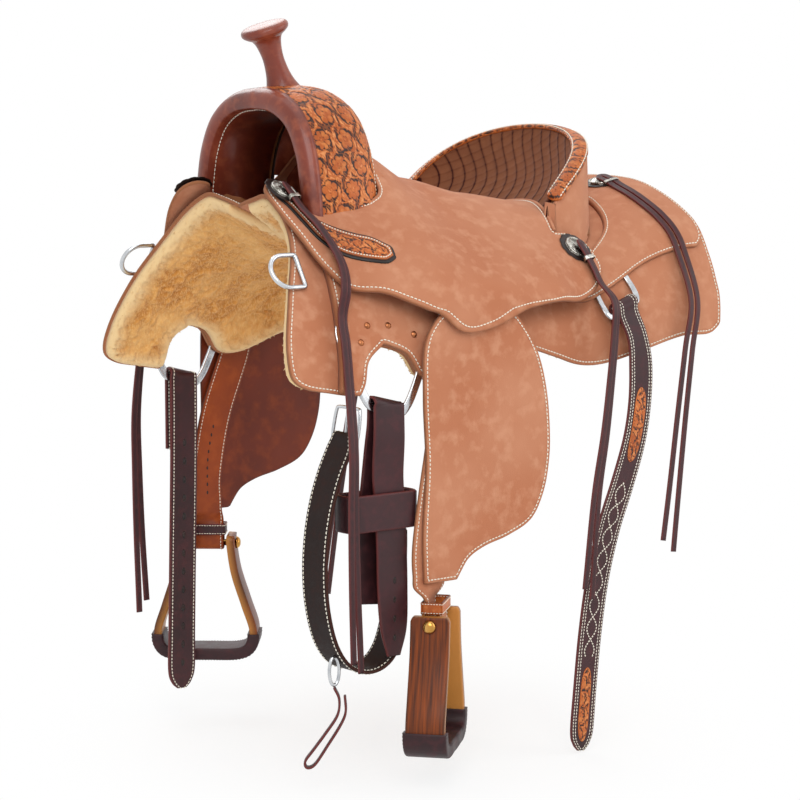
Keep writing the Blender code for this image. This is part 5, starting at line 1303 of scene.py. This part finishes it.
# ---- strings, fenders and stirrups

strapShape = {"string": (0.0092, 0.0033), "swing": (-0.100, -0.050), "leatherY": 0.2390,
              "leather": (0.050, 0.0045), "leatherTopX": -0.090, "fenderY": 0.2442, "fender": 0.0042,
              "bolt": 0.0045, "insideTop": 0.060, "deep": 0.049, "wood": 0.011,
              "twist": math.atan2(0.64, 0.77), "boltHeight": {"near": -0.434, "far": -0.402},
              "at": {"near": (-0.140, 0.2475), "far": (-0.150, 0.2475)}}
stringRoutes = {
    "front": [(-0.265, 0.2430, -0.210), (-0.265, 0.2430, -0.290), (-0.263, 0.2430, -0.380),
              (-0.259, 0.2430, -0.472)],
    "cantle": {"near": [(0.150, 0.2585, -0.050), (0.147, 0.2620, -0.090), (0.138, 0.2650, -0.150),
                        (0.126, 0.2680, -0.220), (0.112, 0.2680, -0.300), (0.100, 0.2680, -0.420)],
               "far": [(0.150, 0.2585, -0.050), (0.146, 0.2610, -0.090), (0.132, 0.2620, -0.170),
                       (0.112, 0.2640, -0.270), (0.090, 0.2640, -0.380), (0.068, 0.2640, -0.505)]},
    "rear": [(0.308, 0.2480, -0.055), (0.294, 0.2530, -0.120), (0.279, 0.2560, -0.210),
             (0.266, 0.2580, -0.300), (0.254, 0.2600, -0.375)]}


def makeThongs(name, places, outs, node, closer=1.0, lift=0.0):
    # one thong doubled over its concho: both halves beside the route, or one half upon the other,
    # with one end longer
    wide, thick = strapShape["string"]
    both = smoothLine(np.hstack([places, outs]), 6)
    places, outs = both[:, :3], both[:, 3:]
    run = runOf(places)
    run = run / run[-1]
    ahead = unit(np.gradient(places, axis=0))
    ways = np.cross(ahead, outs)
    ways = unit(ways)
    apart = (wide + 0.0016) / 2 * closer
    one = places + ways * (apart + 0.006 * run ** 2)[:, None] + outs * lift
    two = places - ways * (apart + 0.003 * run ** 2)[:, None]
    two[:, 2] -= 0.014 * np.clip((run - 0.8) / 0.2, 0, 1) ** 2
    a = np.linspace(0.3, 2.84, 8)
    bend = places[0] - ahead[0] * apart * np.sin(a)[:, None] + ways[0] * apart * np.cos(a)[:, None]
    bend = bend + outs[0] * lift * (0.5 + 0.5 * np.cos(a))[:, None]
    turned = ways[0] * np.cos(a)[:, None] - ahead[0] * np.sin(a)[:, None]
    strap(name, "saddle", np.vstack([one[::-1], bend, two]), np.vstack([ways[::-1], turned, -ways]),
          wide * 0.97, thick * 0.95, latigo, [node], fine=0.0035)
    a = np.linspace(0, 2 * np.pi, 24, endpoint=False)
    k = 7
    flat = np.stack([np.sign(q) * np.abs(q) ** 0.5 for q in (np.cos(a), np.sin(a))], axis=1)
    tall = (thick + lift) / 2 + 0.0009
    loop = places[k] + outs[k] * lift / 2 + flat[:, :1] * ways[k] * (apart + wide / 2
                                                                     + 0.0012) + flat[:, 1:] * outs[k] * tall
    strap(f"{name}Keeper", "saddle", loop, ahead[k], 0.0050, 0.0011, silver, (), closed=True, fine=0.0012)


def makeStrings():
    # each route lies on the leather first and hangs from its edge after that
    def hang(points):
        return np.array([(x, side * y, z) for x, y, z in points])

    def outward(points):
        return np.tile((0.0, side, 0.0), (len(points), 1))
    for name, side in sides.items():
        x = np.array([-0.2640, -0.2625, -0.2590, -0.2510, -0.2450, -0.2440])
        t = side * np.array([0.0960, 0.1100, 0.129, 0.150, 0.180, 0.210])
        a = skinAt(x, t, seatHeight,
                   layers["patch"] + np.array([0.0085, 0.0062, 0.0036, 0.0036, 0.0036, 0.0036]))
        b = skinAt(np.array([-0.2500]), side * np.array([0.240]), seatHeight, 0.0050)
        c = skinAt(np.array([-0.2560, -0.2600, -0.2630]), side * np.array([0.270, 0.305, 0.345]),
                   layers["plate"], 0.0026)
        ends = hang(stringRoutes["front"])
        makeThongs(f"stringsFront_{name}", np.vstack([a[0], b[0], c[0], ends]),
                   np.vstack([a[1], b[1], c[1], outward(ends)]), f"front_strings_{name}", 0.45, 0.0032)
        a = skinAt(np.array([0.1415, 0.1440, 0.1475, 0.1500]),
                   side * np.array([0.1850, 0.2000, 0.2165, 0.232]), seatHeight,
                   np.array([0.0085, 0.0062, 0.0036, 0.0036]))
        ends = hang(stringRoutes["cantle"][name])
        makeThongs(f"stringsCantle_{name}", np.vstack([a[0], ends]), np.vstack([a[1], outward(ends)]),
                   f"cantle_strings_{name}", 0.6, 0.0032)
        a = skinAt(np.array([0.3150, 0.3140, 0.3130, 0.311, 0.310, 0.310, 0.312, 0.313]),
                   side * np.array([0.0580, 0.0740, 0.090, 0.120, 0.150, 0.180, 0.210, 0.240]),
                   layers["housing"], np.array([0.0075, 0.0055, 0.0026, 0.0026, 0.0026, 0.0026, 0.0026,
                                                0.0026]))
        ends = hang(stringRoutes["rear"])
        makeThongs(f"stringsRear_{name}", np.vstack([a[0], ends]), np.vstack([a[1], outward(ends)]),
                   f"rear_strings_{name}")


makeStrings()


def rowOfHoles(name, body, places, outs, ways, radii, material):
    # punched holes: thin dark lenses on the leather's face, painted shade standing in for the open holes, all
    # in one piece
    a = np.linspace(0, 2 * np.pi, 20, endpoint=False)
    turned = np.cross(outs, ways)
    oval = (np.cos(a)[None, :, None] * ways[:, None] * radii[0]
            + np.sin(a)[None, :, None] * turned[:, None] * radii[1])
    middle, up = places[:, None], outs[:, None]
    rings = np.stack([middle + oval * 0.05 + up * 0.0002, middle + oval * 0.7 + up * 0.00018,
                      middle + oval + up * 0.00006, middle + oval * 0.9 - up * 0.0004,
                      middle + oval * 0.05 - up * 0.0004],
                     axis=1)
    k = np.arange(100).reshape(5, 20)
    here, there = k, np.roll(k, -1, axis=0)
    quads = np.stack([here, np.roll(here, -1, axis=1), np.roll(there, -1, axis=1), there],
                     axis=2).reshape(-1, 4)
    faces = (np.arange(len(places))[:, None, None] * 100 + quads[None]).reshape(-1, 4)
    points = rings.reshape(-1, 3)
    attach(makePiece(name, points, facingOut(points, faces), material, None,
                     {"cutEdge": np.zeros(len(points))}), body)


fenderOutline = [(-0.122, -0.048), (-0.075, -0.042), (-0.020, -0.050), (0.008, -0.075), (0.030, -0.11),
                 (0.043, -0.15), (0.050, -0.20), (0.050, -0.245), (0.040, -0.29), (0.020, -0.322),
                 (-0.02, -0.340), (-0.06, -0.350), (-0.085, -0.362), (-0.098, -0.378), (-0.104, -0.387),
                 (-0.156, -0.387), (-0.158, -0.33), (-0.153, -0.24), (-0.157, -0.15), (-0.152, -0.08)]


def treadWay(side):
    # the way along the tread, turned by the twist of the leathers
    twist = strapShape["twist"]
    return np.array([math.cos(twist), -side * math.sin(twist), 0])


def makeFender(name, side, v):
    # the fender's outline and the doubled leather, which twists a quarter on its way to the bolt
    dx = v["at"][name][0] - v["at"]["near"][0]
    drop = v["boltHeight"][name] - v["boltHeight"]["near"]
    points = []
    for x, z in fenderOutline:
        low = float(ease((-0.05 - z) / 0.33))
        points.append((x + dx * low, z + drop * low))
    material = roughout if side < 0 else russet
    half = v["fender"] / 2
    body = f"fender_{name}"
    # the far fender in the darker russet copy, painted shade
    panel(f"fenderLeather_{name}", body, points, -half, half, roughout if side < 0 else russetPaintedShade,
          [f"fender_{name}"], flatLay(side, v["fenderY"]), spacing=0.008)
    bx, by = v["at"][name]
    bz = v["boltHeight"][name]
    wide, thick = v["leather"]
    loop = v["bolt"] + 0.0006 + thick / 2
    flat = np.array([1.0, 0, 0])
    tread = treadWay(side)
    face = np.array([-tread[1], tread[0], 0]) * side
    lowX = bx - face[0] * loop
    path, across = [], []
    for z, share in ((-0.056, 0.0), (-0.13, 0.0), (-0.22, 0.0), (bz + 0.10, 0.0), (bz + 0.056, 0.0),
                     (bz + 0.047, 0.0), (bz + 0.042, 0.12), (bz + 0.036, 0.5), (bz + 0.030, 0.9),
                     (bz + 0.024, 1.0), (bz + 0.010, 1.0)):
        down = float(ease((-0.056 - z) / (-0.056 - (bz + 0.10))))
        high = np.array([v["leatherTopX"] + (lowX - v["leatherTopX"]) * down, side * v["leatherY"], z])
        low = np.array([bx, side * by, z]) - face * loop
        path.append(high * (1 - share) + low * share)
        across.append(flat * (1 - share) + tread * share)
    middle = np.array([bx, side * by, bz])
    for a in np.linspace(0, math.pi, 13):
        path.append(middle - face * loop * math.cos(a) - np.array([0, 0, loop * math.sin(a)]))
        across.append(tread)
    path.append(middle + face * loop + np.array([0, 0, 0.016]))
    across.append(tread)
    strap(f"stirrupLeather_{name}", body, path, across, wide, thick, material, [f"stirrup_leather_{name}"],
          rows=(0.004,), faces=(1, -1))
    high = np.arange(bz + 0.072, -0.235, 0.0115)
    down = ease((-0.056 - high) / (-0.056 - (bz + 0.10)))
    holes = np.stack([v["leatherTopX"] + (lowX - v["leatherTopX"]) * down,
                      np.full(len(high), side * (v["leatherY"] - thick / 2)), high], axis=1)
    rowOfHoles(f"leatherHoles_{name}", body, holes, np.tile((0.0, -side, 0.0), (len(high), 1)),
               np.tile((1.0, 0, 0), (len(high), 1)), (0.0014, 0.0025), blackHide)
    makeHobble(name, side, v, body, middle, tread, face)


def makeHobble(name, side, v, body, middle, tread, face):
    # a band round the doubled leather with rounded corners; the near one has the carved leather's colour and
    # dark edges, with no carving
    wide, thick = v["leather"]
    halfWide, halfDeep = wide / 2 + 0.0006 + 0.00125, v["bolt"] + 0.0006 + thick + 0.0018 + 0.00125
    corner = 0.0035
    flat = []
    for sx, sy, first in ((1, 1, 0), (-1, 1, 90), (-1, -1, 180), (1, -1, 270)):
        for a in np.radians([first, first + 30, first + 60, first + 90]):
            flat.append((sx * (halfWide - corner) + corner * math.cos(a),
                         sy * (halfDeep - corner) + corner * math.sin(a)))
    flat = np.array(flat)
    path = middle + np.array([0, 0, 0.0201]) + flat[:, :1] * tread + flat[:, 1:] * face
    strap(f"hobbleStrap_{name}", body, path, (0, 0, 1), 0.0155, 0.0024, tooledPlain if side < 0 else latigo,
          [f"hobble_strap_{name}"], closed=True, rows=(0.0022,), faces=(1, -1), pitch=0.0036, fine=0.0016)


def makeStirrup(name, side, v):
    # bent laminated wood: the section is a rounded rectangle, with its plies across the thickness
    body = f"stirrup_{name}"
    top = v["insideTop"] / 2 + v["wood"] / 2
    half = [(top, 0.0115), (top, 0.0), (top + 0.006, -0.040), (top + 0.020, -0.085), (top + 0.031, -0.120),
            (top + 0.028, -0.143), (top + 0.010, -0.1535), (0.0, -0.1545)]
    line = smoothLine(half, 16)
    line = spaced(np.vstack([line * (-1, 1), line[-2::-1]]), 0.002)
    bx, by = v["at"][name]
    tread = treadWay(side)
    face = np.array([-tread[1], tread[0], 0]) * side
    middle = np.array([bx, side * by, v["boltHeight"][name]])

    def bandOf(label, line, deep, thick, edge, material, nodes, rough=0.0):
        ahead = unit(np.gradient(line, axis=0))
        corner = np.radians(np.linspace(0, 90, 5))
        quarter = [(edge * (1 - math.cos(a)), thick / 2 - edge + edge * math.sin(a)) for a in corner]
        ends = np.clip(np.minimum(runOf(line), runOf(line)[-1] - runOf(line)) / 0.006, 0,
                       1) ** 0.5 if rough == 0 else 1.0
        section = []
        for b, s in ((1, 1), (-1, 1), (-1, -1), (1, -1)):
            part = [(b * (deep / 2 - i), s * c) for i, c in quarter]
            section += part if b * s > 0 else part[::-1]
        section = np.array(section)
        share = section[:, 1] / thick + 0.5
        across, tall = section[:, 0][None], section[:, 1][None] * np.ones((len(line), 1))
        run = runOf(line)[:, None]
        if rough:
            tall = tall + rough * np.sign(tall) * (0.5 + 0.5 * np.cos(run * 2 * np.pi / 0.0042))
            across = across * (1 + rough / deep * (0.5 + 0.5 * np.cos(run * 2 * np.pi / 0.0042)))
        else:
            across = across * (0.86 + 0.14 * np.asarray(ends)[:, None])
        a = line[:, :1] - ahead[:, 1:] * tall
        c = line[:, 1:] + ahead[:, :1] * tall
        rings = (middle + a[..., None] * tread + across[..., None] * face * np.ones_like(a)[..., None]
                 + c[..., None] * np.array([0, 0, 1.0]))
        uv = np.stack([np.broadcast_to(run, a.shape), np.broadcast_to(across, a.shape)], axis=2)
        return tubeOf(label, body, rings, material, nodes, False,
                      {"ply": np.broadcast_to(share, a.shape).copy(), "cutEdge": np.zeros(a.shape)}, uv)

    bandOf(f"stirrupWood_{name}", line, v["deep"], v["wood"], 0.0022, walnut, [f"stirrup_{name}"])
    low = line[line[:, 1] < -0.125]
    bandOf(f"treadWrap_{name}", low, v["deep"] + 0.0056, v["wood"] + 0.0052, 0.003, latigo,
           [f"stirrup_tread_{name}"], 0.0008)
    end = v["insideTop"] / 2 + v["wood"] + 0.0012
    r = v["bolt"]
    profile = [(0, end + 0.006), (0.0035, end + 0.0057), (0.0064, end + 0.0042), (0.0082, end + 0.0018),
               (0.0085, end), (r, end), (r, -end), (0.0085, -end), (0.0082, -end - 0.0018),
               (0.0064, -end - 0.0042), (0.0035, -end - 0.0057), (0, -end - 0.006)]
    lathe(f"stirrupBolt_{name}", body, profile, middle, tread, brass, [f"stirrup_bolt_{name}"], 40, None, 5,
          False)


tooledPlain = leatherMaterial("carved skirting leather", tooledLook)
for sideName, sideWay in sides.items():
    makeFender(sideName, sideWay, strapShape)
    makeStirrup(sideName, sideWay, strapShape)
print("strings, fenders and stirrups made")

# ---- billets, latigo, flank cinch and snap

billetShape = {"offWide": 0.044, "latigoWide": 0.046, "strapThick": 0.0045, "rearThick": 0.0038,
               "barGap": 0.0018, "holePitch": 0.0255, "waveHalf": 0.0085, "waveLong": 0.030,
               "wrap": (0.046, 0.0042), "cinch": 0.0042, "buckleHalf": 0.025, "buckleWire": 0.0022,
               "tongueWire": 0.0015}
snapShape = {"at": (-0.2700, -0.2100, -0.4665), "halfWide": 0.0075, "halfTall": 0.0175, "wire": 0.0022,
             "strap": (0.011, 0.0030)}


def barAt(x, side, heights, thick, edgeT, lowT):
    # a dee's lower bar: its middle across, its upper edge, its half thickness and the way along it
    t = side * np.array([edgeT, edgeT, lowT, lowT])
    lift = np.array([0.0, thick, 0.0, thick])
    at = np.full(4, x)
    place = onForm(at, t, heights(at, t) + lift)
    across, up = side * place[:, 1], place[:, 2]
    ends = onForm(np.array([x - 0.02, x + 0.02]), np.full(2, side * lowT),
                  heights(np.array([x, x]), np.full(2, lowT)))
    along = ends[1] - ends[0]
    return ((across.min() + across.max()) / 2, up.max(), (across.max() - across.min()) / 2,
            along / np.linalg.norm(along))


def overBar(outer, inner, barY, edge, turn, x, side):
    # up outside the bar, half a circle over it and down inside
    arc = [(x, side * (barY + turn * math.cos(a)), edge + turn * math.sin(a))
           for a in np.linspace(0, math.pi, 9)]
    return [*outer, *arc, *inner]


def makeBillets(v):
    # each strap goes over its dee's bar; the rear one carries two inlays and a wave of stitches
    wide, thick = v["offWide"], v["strapThick"]
    x, low = outlines["frontDee"][5]
    barY, edge, half, along = barAt(x, 1, frontHeight, layers["dee"], low - metalShape["deeBand"], low)
    turn = half + thick / 2 + v["barGap"]
    outer, inner = barY + turn, barY - turn
    path = overBar([(x, outer, -0.262), (x, outer, -0.215)],
                   [(x, inner, -0.20), (-0.204, inner, -0.28), (-0.206, inner, -0.36), (-0.208, inner, -0.44),
                    (-0.210, inner, -0.52), (-0.211, inner, -0.570), (-0.211, inner, -0.588),
                    (-0.211, inner, -0.596)],
                   barY, edge, turn, x, 1)
    strap("offBillet", "off_billet", path, along, [wide] * (len(path) - 2) + [wide * 0.72, wide * 0.35],
          thick, latigo, ["off_billet_far"], rows=(0.0045,), faces=(1, -1))
    for face in (1, -1):
        high = np.arange(-0.560, -0.235, v["holePitch"])
        places = np.stack([np.interp(high, [-0.596, -0.28, -0.20], [-0.211, -0.204, x]),
                           np.full(len(high), inner + face * thick / 2), high], axis=1)
        rowOfHoles(f"offBilletHoles_{face}", "off_billet", places,
                   np.tile((0, float(face), 0), (len(high), 1)), np.tile((1.0, 0, 0), (len(high), 1)),
                   (0.0030, 0.0052), blackHide)
    thick = v["rearThick"]
    x, low = outlines["rearDee"][5]
    barY, edge, half, along = barAt(x, -1, ringHeight, metalShape["ringThick"], low - metalShape["ringBand"],
                                    low)
    turn = half + thick / 2 + v["barGap"]
    back = onForm(np.array([x, x]), -np.array([low + 0.001, low + 0.012]), np.full(2, thick / 2 + 0.0013))
    lower = [(0.205, -0.2520, -0.135), (0.203, -0.2530, -0.185), (0.193, -0.2535, -0.235),
             (0.172, -0.2540, -0.290), (0.148, -0.2545, -0.345), (0.128, -0.2550, -0.410),
             (0.115, -0.2555, -0.480), (0.106, -0.2560, -0.555), (0.101, -0.2560, -0.610),
             (0.100, -0.2560, -0.628), (0.0995, -0.2560, -0.637)]
    path = overBar([*lower[::-1], (0.200, -0.2500, edge - 0.040),
                    (0.192, -(barY + turn + 0.0005), edge - 0.012)],
                   list(back), barY, edge, turn, x, -1)
    wides = [0.013, 0.029] + [0.040] * (len(path) - 15) + [0.034] * 13
    strap("rearBillet", "rear_billet", path, along, wides, thick, latigo, ["rear_billet_near"],
          rows=(0.003, 0.007), faces=(1, -1), pitch=0.0042)
    line = smoothLine(np.array(lower), 12)
    run = runOf(line)
    for k, (first, last, width) in enumerate(((0.03, 0.13, 0.020), (run[-1] - 0.11, run[-1] - 0.012, 0.018))):
        at = np.linspace(first, last, 70)
        place = np.stack([np.interp(at, run, line[:, i]) for i in range(3)], axis=1)
        ahead = unit(np.gradient(place, axis=0))
        side = np.cross(ahead, (0, -1.0, 0))
        ends = np.sqrt(np.clip(1 - ((at - (first + last) / 2) / ((last - first) / 2)) ** 4, 0.01, 1))
        b = np.linspace(-1, 1, 22)
        reach = b[None] * ends[:, None] * width / 2
        carve = scrolls(at[:, None] + 0 * reach, reach + 0.011, 0.022)
        rim = np.minimum(1 - np.abs(b)[None], ends[:, None])
        carve = np.where(rim < 0.16, 0.85, carve)
        tall = 0.0008 + (carve - 0.9) * 0.0004 - 0.0006 * np.exp(-rim / 0.06)
        grid = place[:, None] + side[:, None] * reach[..., None]
        top = grid + np.array([0, -1.0, 0]) * (thick / 2 + tall)[..., None]
        under = grid + np.array([0, -1.0, 0]) * (thick / 2 - 0.0006)
        shellOf(f"billetInlay_{k}", "rear_billet", top, under, tooled, (),
                {"carving": carve, "cutEdge": 0 * carve})
    wave = spaced(line[(run > 0.16) & (run < run[-1] - 0.12)], 0.0042)
    ahead = unit(np.gradient(wave, axis=0))
    side = np.cross(ahead, (0, -1.0, 0))
    s = runOf(wave)
    for hand in (-1, 1):
        places = (wave + side * (hand * v["waveHalf"] * np.sin(s / v["waveLong"] * np.pi))[:, None]
                  + np.array([0, -thick / 2, 0]))
        sewAlong("rear_billet", places, np.tile((0, -1.0, 0), (len(places), 1)), 0.0042)


def makeLatigo(v):
    # the doubled latigo, its wrap, the cinch in one fold, and the buckle with its tongue
    wide, thick = v["latigoWide"], v["strapThick"]
    x, low = outlines["frontDee"][5]
    barY, edge, half, along = barAt(x, -1, frontHeight, layers["dee"], low - metalShape["deeBand"], low)
    turn = half + thick / 2 + v["barGap"]
    front = [(-0.191, -0.2274, -0.475), (-0.191, -0.2274, -0.440), (-0.193, -0.2274, -0.390),
             (-0.194, -0.2270, -0.340), (-0.196, -0.2262, -0.290), (-0.200, -0.2275, -0.248),
             (x, -barY - turn - 0.0004, -0.200)]
    back = [(x, -barY + turn + 0.0010, -0.190), (-0.203, -0.2130, -0.230), (-0.207, -0.2080, -0.290),
            (-0.214, -0.2070, -0.350), (-0.220, -0.2060, -0.410)]
    path = overBar(front, back, barY, edge, turn, x, -1)
    body = "latigo_and_cinch"
    strap("latigoStrap", body, path, along, [0.020, 0.040] + [wide] * (len(path) - 2), thick, latigo,
          ["latigo_near"])
    holes = np.array([(-0.191, -0.2274 - thick / 2, z) for z in (-0.452, -0.428, -0.404, -0.380)])
    rowOfHoles("latigoHole", body, holes, np.tile((0, -1.0, 0), (4, 1)), np.tile((1.0, 0, 0), (4, 1)),
               (0.0026, 0.0042), blackHide)
    left, right, inner, outer, bow = -0.2600, -0.1560, -0.1960, -0.2323, 0.012
    corners = []
    for cx, cy, first in ((right - bow, inner - bow, 0), (left + bow, inner - bow, 90),
                          (left + bow, outer + bow, 180), (right - bow, outer + bow, 270)):
        for a in np.radians([first, first + 30, first + 60, first + 90]):
            corners.append((cx + bow * math.cos(a), cy + bow * math.sin(a), -0.2925))
    strap("latigoWrap", body, corners, (0, 0, 1), *v["wrap"], latigo, ["latigo_wrap"], closed=True)
    bar, turn, deep = (-0.2445, -0.2010), 0.0046, -0.1995
    fold = [(bar[0] + turn, bar[1] - 0.026), (bar[0] + turn, bar[1] - 0.010)]
    fold += [(bar[0] + turn * math.cos(a), bar[1] + turn * math.sin(a)) for a in np.linspace(0, math.pi, 8)]
    legs = [(-0.2540, -0.216), (-0.2680, -0.245), (-0.2800, -0.280), (-0.2880, -0.320), (-0.2910, -0.365),
            (-0.2870, -0.410), (-0.2750, -0.452), (-0.2550, -0.480), (-0.2280, -0.492), (-0.2010, -0.488),
            (-0.1820, -0.470), (-0.1720, -0.435), (-0.1660, -0.390), (-0.1625, -0.345), (-0.1625, -0.322)]
    path = [(px, deep, pz) for px, pz in fold + legs]
    wides = [0.040] * 10 + [0.050] * 11 + [0.044, 0.040, 0.036, 0.036]
    strap("flankCinch", body, path, (0, 1, 0), wides, v["cinch"], harness, ["flank_cinch"], rows=(0.004,),
          faces=(1, -1), pitch=0.0055)
    half = v["buckleHalf"]
    corners = [(0, -half + 0.003, 0), (0, 0, 0), (0, half - 0.003, 0), (0.0004, half, 0.003),
               (0.003, half, 0.018), (0.0055, half - 0.002, 0.033), (0.006, half - 0.006, 0.036),
               (0.006, 0, 0.0365), (0.006, -half + 0.006, 0.036), (0.0055, -half + 0.002, 0.033),
               (0.003, -half, 0.018), (0.0004, -half, 0.003)]
    points = np.array([(bar[0] + a, deep + b, bar[1] + c) for a, b, c in corners])
    wire("cinchBuckle", body, points, v["buckleWire"], steel, ["cinch_buckle"], True, 16, 0.0016)
    tongue = np.array([(bar[0], deep, bar[1]), (bar[0] + 0.0015, deep, bar[1] + 0.012),
                       (bar[0] + 0.003, deep, bar[1] + 0.026), (bar[0] + 0.0045, deep, bar[1] + 0.037)])
    wire("buckleTongue", body, tongue, v["tongueWire"], steel, (), False, 12, 0.0016)


def makeSnap(v):
    # an oval wire hook, with the narrow strap in a long loop below it
    x, y, z = v["at"]
    a = np.linspace(0, 2 * np.pi, 48, endpoint=False)
    loop = np.stack([x + v["halfWide"] * np.cos(a), np.full(48, y), z - 0.020 + v["halfTall"] * np.sin(a)],
                    axis=1)
    wire("snapHook", "cinch_snap", loop, v["wire"], steel, ["cinch_snap"], True, 16, 0.0012, False)
    flat = np.array([(0.000, 0.0), (0.006, -0.014), (0.004, -0.034), (-0.010, -0.056), (-0.026, -0.078),
                     (-0.036, -0.092), (-0.034, -0.100), (-0.024, -0.096), (-0.008, -0.072), (0.008, -0.046),
                     (0.014, -0.030), (0.013, -0.010)])
    top = z - 0.0385
    path = np.array([(x + p * 0.78, y - p * 0.62, top - 0.0020 + q) for p, q in smoothLine(flat, 3)])
    strap("cinchHobble", "cinch_snap", path, (0.62, 0.78, 0), *v["strap"], latigo, ["cinch_hobble"],
          fine=0.002)


makeBillets(billetShape)
makeLatigo(billetShape)
makeSnap(snapShape)
print("billets, latigo and cinch made")

# ---- stitches: every remembered row becomes small capsules, one piece per body


def makeStitches():
    # a capsule has five rings of six points, arched over the leather
    ring = np.array([0.0, 1.05, 2.09, 3.14, 4.19, 5.24])
    levels = np.array([(-1.0, 0.35), (-0.72, 0.9), (0.0, 1.0), (0.72, 0.9), (1.0, 0.35)])
    for body, rows in stitchRuns.items():
        middle, way, up, long, size = (np.concatenate([row[k] for row in rows]) for k in range(5))
        side = np.cross(way, up)
        n = len(middle)
        along = middle[:, None] + way[:, None] * (long[:, None] / 2 * levels[:, 0])[..., None]
        arch = up[:, None] * (size[:, None] * (0.55 - 0.9 * levels[:, 0] ** 2))[..., None]
        spread = (size[:, None] * levels[:, 1])[:, :, None, None]
        around = side[:, None, None] * np.cos(ring)[:, None] + up[:, None, None] * np.sin(ring)[:, None]
        points = (along + arch)[:, :, None] + around * spread
        k = np.arange(30).reshape(5, 6)
        a, b = k[:-1].ravel(), np.roll(k[:-1], -1, axis=1).ravel()
        c, d = np.roll(k[1:], -1, axis=1).ravel(), k[1:].ravel()
        tris = [np.stack([a, b, c], axis=1), np.stack([a, c, d], axis=1)]
        tris += [[(0, j + 1, j) for j in range(1, 5)][::-1], [(24, 24 + j, 25 + j) for j in range(1, 5)]]
        tris = np.vstack(tris)
        faces = (np.arange(n)[:, None, None] * 30 + tris[None]).reshape(-1, 3)
        points = points.reshape(-1, 3)
        attach(makePiece(f"stitching_{body}", points, facingOut(points, faces), thread, None, None), body)


makeStitches()
print("stitches made")

# ---- tree nodes keep their shape in bare wood
for node in ("tree_fork", "tree_cantle", "tree_bar_near", "tree_bar_far"):
    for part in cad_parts[node].material_slots:
        part.material = pine

# ---- floor and light

stage = {"floor": -0.004, "size": 14.0, "fadeFrom": 0.30, "fadeTo": 0.85, "world": 0.52}
lamps = [("keyLamp", (-1.9, -2.6, 2.0), 2.2, 58.0), ("fillLamp", (2.4, -2.4, 1.0), 2.6, 30.0),
         ("rimLamp", (0.8, 2.6, 2.2), 2.0, 34.0), ("topLamp", (0.0, 0.0, 3.0), 2.6, 18.0)]


def whiteToViewer(tree, strength):
    # camera, mirror and glass rays see plain white, all others see the lighting's own strength
    ray = addNode(tree, "ShaderNodeLightPath")
    seen = addNode(tree, "ShaderNodeMath", operation="MAXIMUM",
                   links={0: ray.outputs["Is Camera Ray"], 1: ray.outputs["Is Glossy Ray"]})
    seen = addNode(tree, "ShaderNodeMath", operation="MAXIMUM",
                   links={0: seen.outputs[0], 1: ray.outputs["Is Transmission Ray"]})
    return addNode(tree, "ShaderNodeMapRange", {"To Min": strength, "To Max": 1.0},
                   {"Value": seen.outputs[0]}).outputs[0]


def makeStage(v):
    # white floor that fades into a white surround, with four area lamps
    world = bpy.data.worlds.new("studio")
    world.use_nodes = True
    bpy.context.scene.world = world
    sky = world.node_tree.nodes["Background"]
    sky.inputs["Color"].default_value = (1, 1, 1, 1)
    world.node_tree.links.new(whiteToViewer(world.node_tree, v["world"]), sky.inputs["Strength"])
    half = v["size"] / 2
    low = cadBox[0][2] + v["floor"]
    floor = makePiece("floor", np.array([(-half, -half, low), (half, -half, low), (half, half, low),
                                         (-half, half, low)]),
                      np.array([[0, 1, 2, 3]]), newMaterial("pale floor", Roughness=0.8)[0], None, None,
                      False)
    tree = floor.data.materials[0].node_tree
    shader = tree.nodes["Principled BSDF"]
    shader.inputs["Base Color"].default_value = toLinear("#ffffff")
    shader.inputs["Specular IOR Level"].default_value = 0.1
    where = addNode(tree, "ShaderNodeTexCoord").outputs["Object"]
    away = addNode(tree, "ShaderNodeVectorMath", operation="LENGTH", links={0: where}).outputs["Value"]
    fade = addNode(tree, "ShaderNodeMapRange", {"From Min": v["fadeFrom"], "From Max": v["fadeTo"]},
                   {"Value": away}, interpolation_type="SMOOTHSTEP").outputs[0]
    ray = addNode(tree, "ShaderNodeLightPath")
    seen = addNode(tree, "ShaderNodeMath", operation="MAXIMUM",
                   links={0: ray.outputs["Is Camera Ray"], 1: ray.outputs["Is Glossy Ray"]}).outputs[0]
    share = addNode(tree, "ShaderNodeMath", operation="MULTIPLY", links={0: fade, 1: seen}).outputs[0]
    glow = addNode(tree, "ShaderNodeEmission", {"Strength": 1.0})
    mixed = addNode(tree, "ShaderNodeMixShader", None, {0: share, 1: shader.outputs[0], 2: glow.outputs[0]})
    tree.links.new(mixed.outputs[0], tree.nodes["Material Output"].inputs["Surface"])
    for name, place, size, power in lamps:
        data = bpy.data.lights.new(name, "AREA")
        data.size = size
        data.energy = power
        lamp = bpy.data.objects.new(name, data)
        lamp.location = place
        lamp.rotation_euler = (Vector(place) - Vector((0, 0, -0.15))).to_track_quat("Z", "Y").to_euler()
        bpy.context.scene.collection.objects.link(lamp)
    bpy.context.scene.view_settings.view_transform = "Standard"


makeStage(stage)
print("floor and lamps placed")
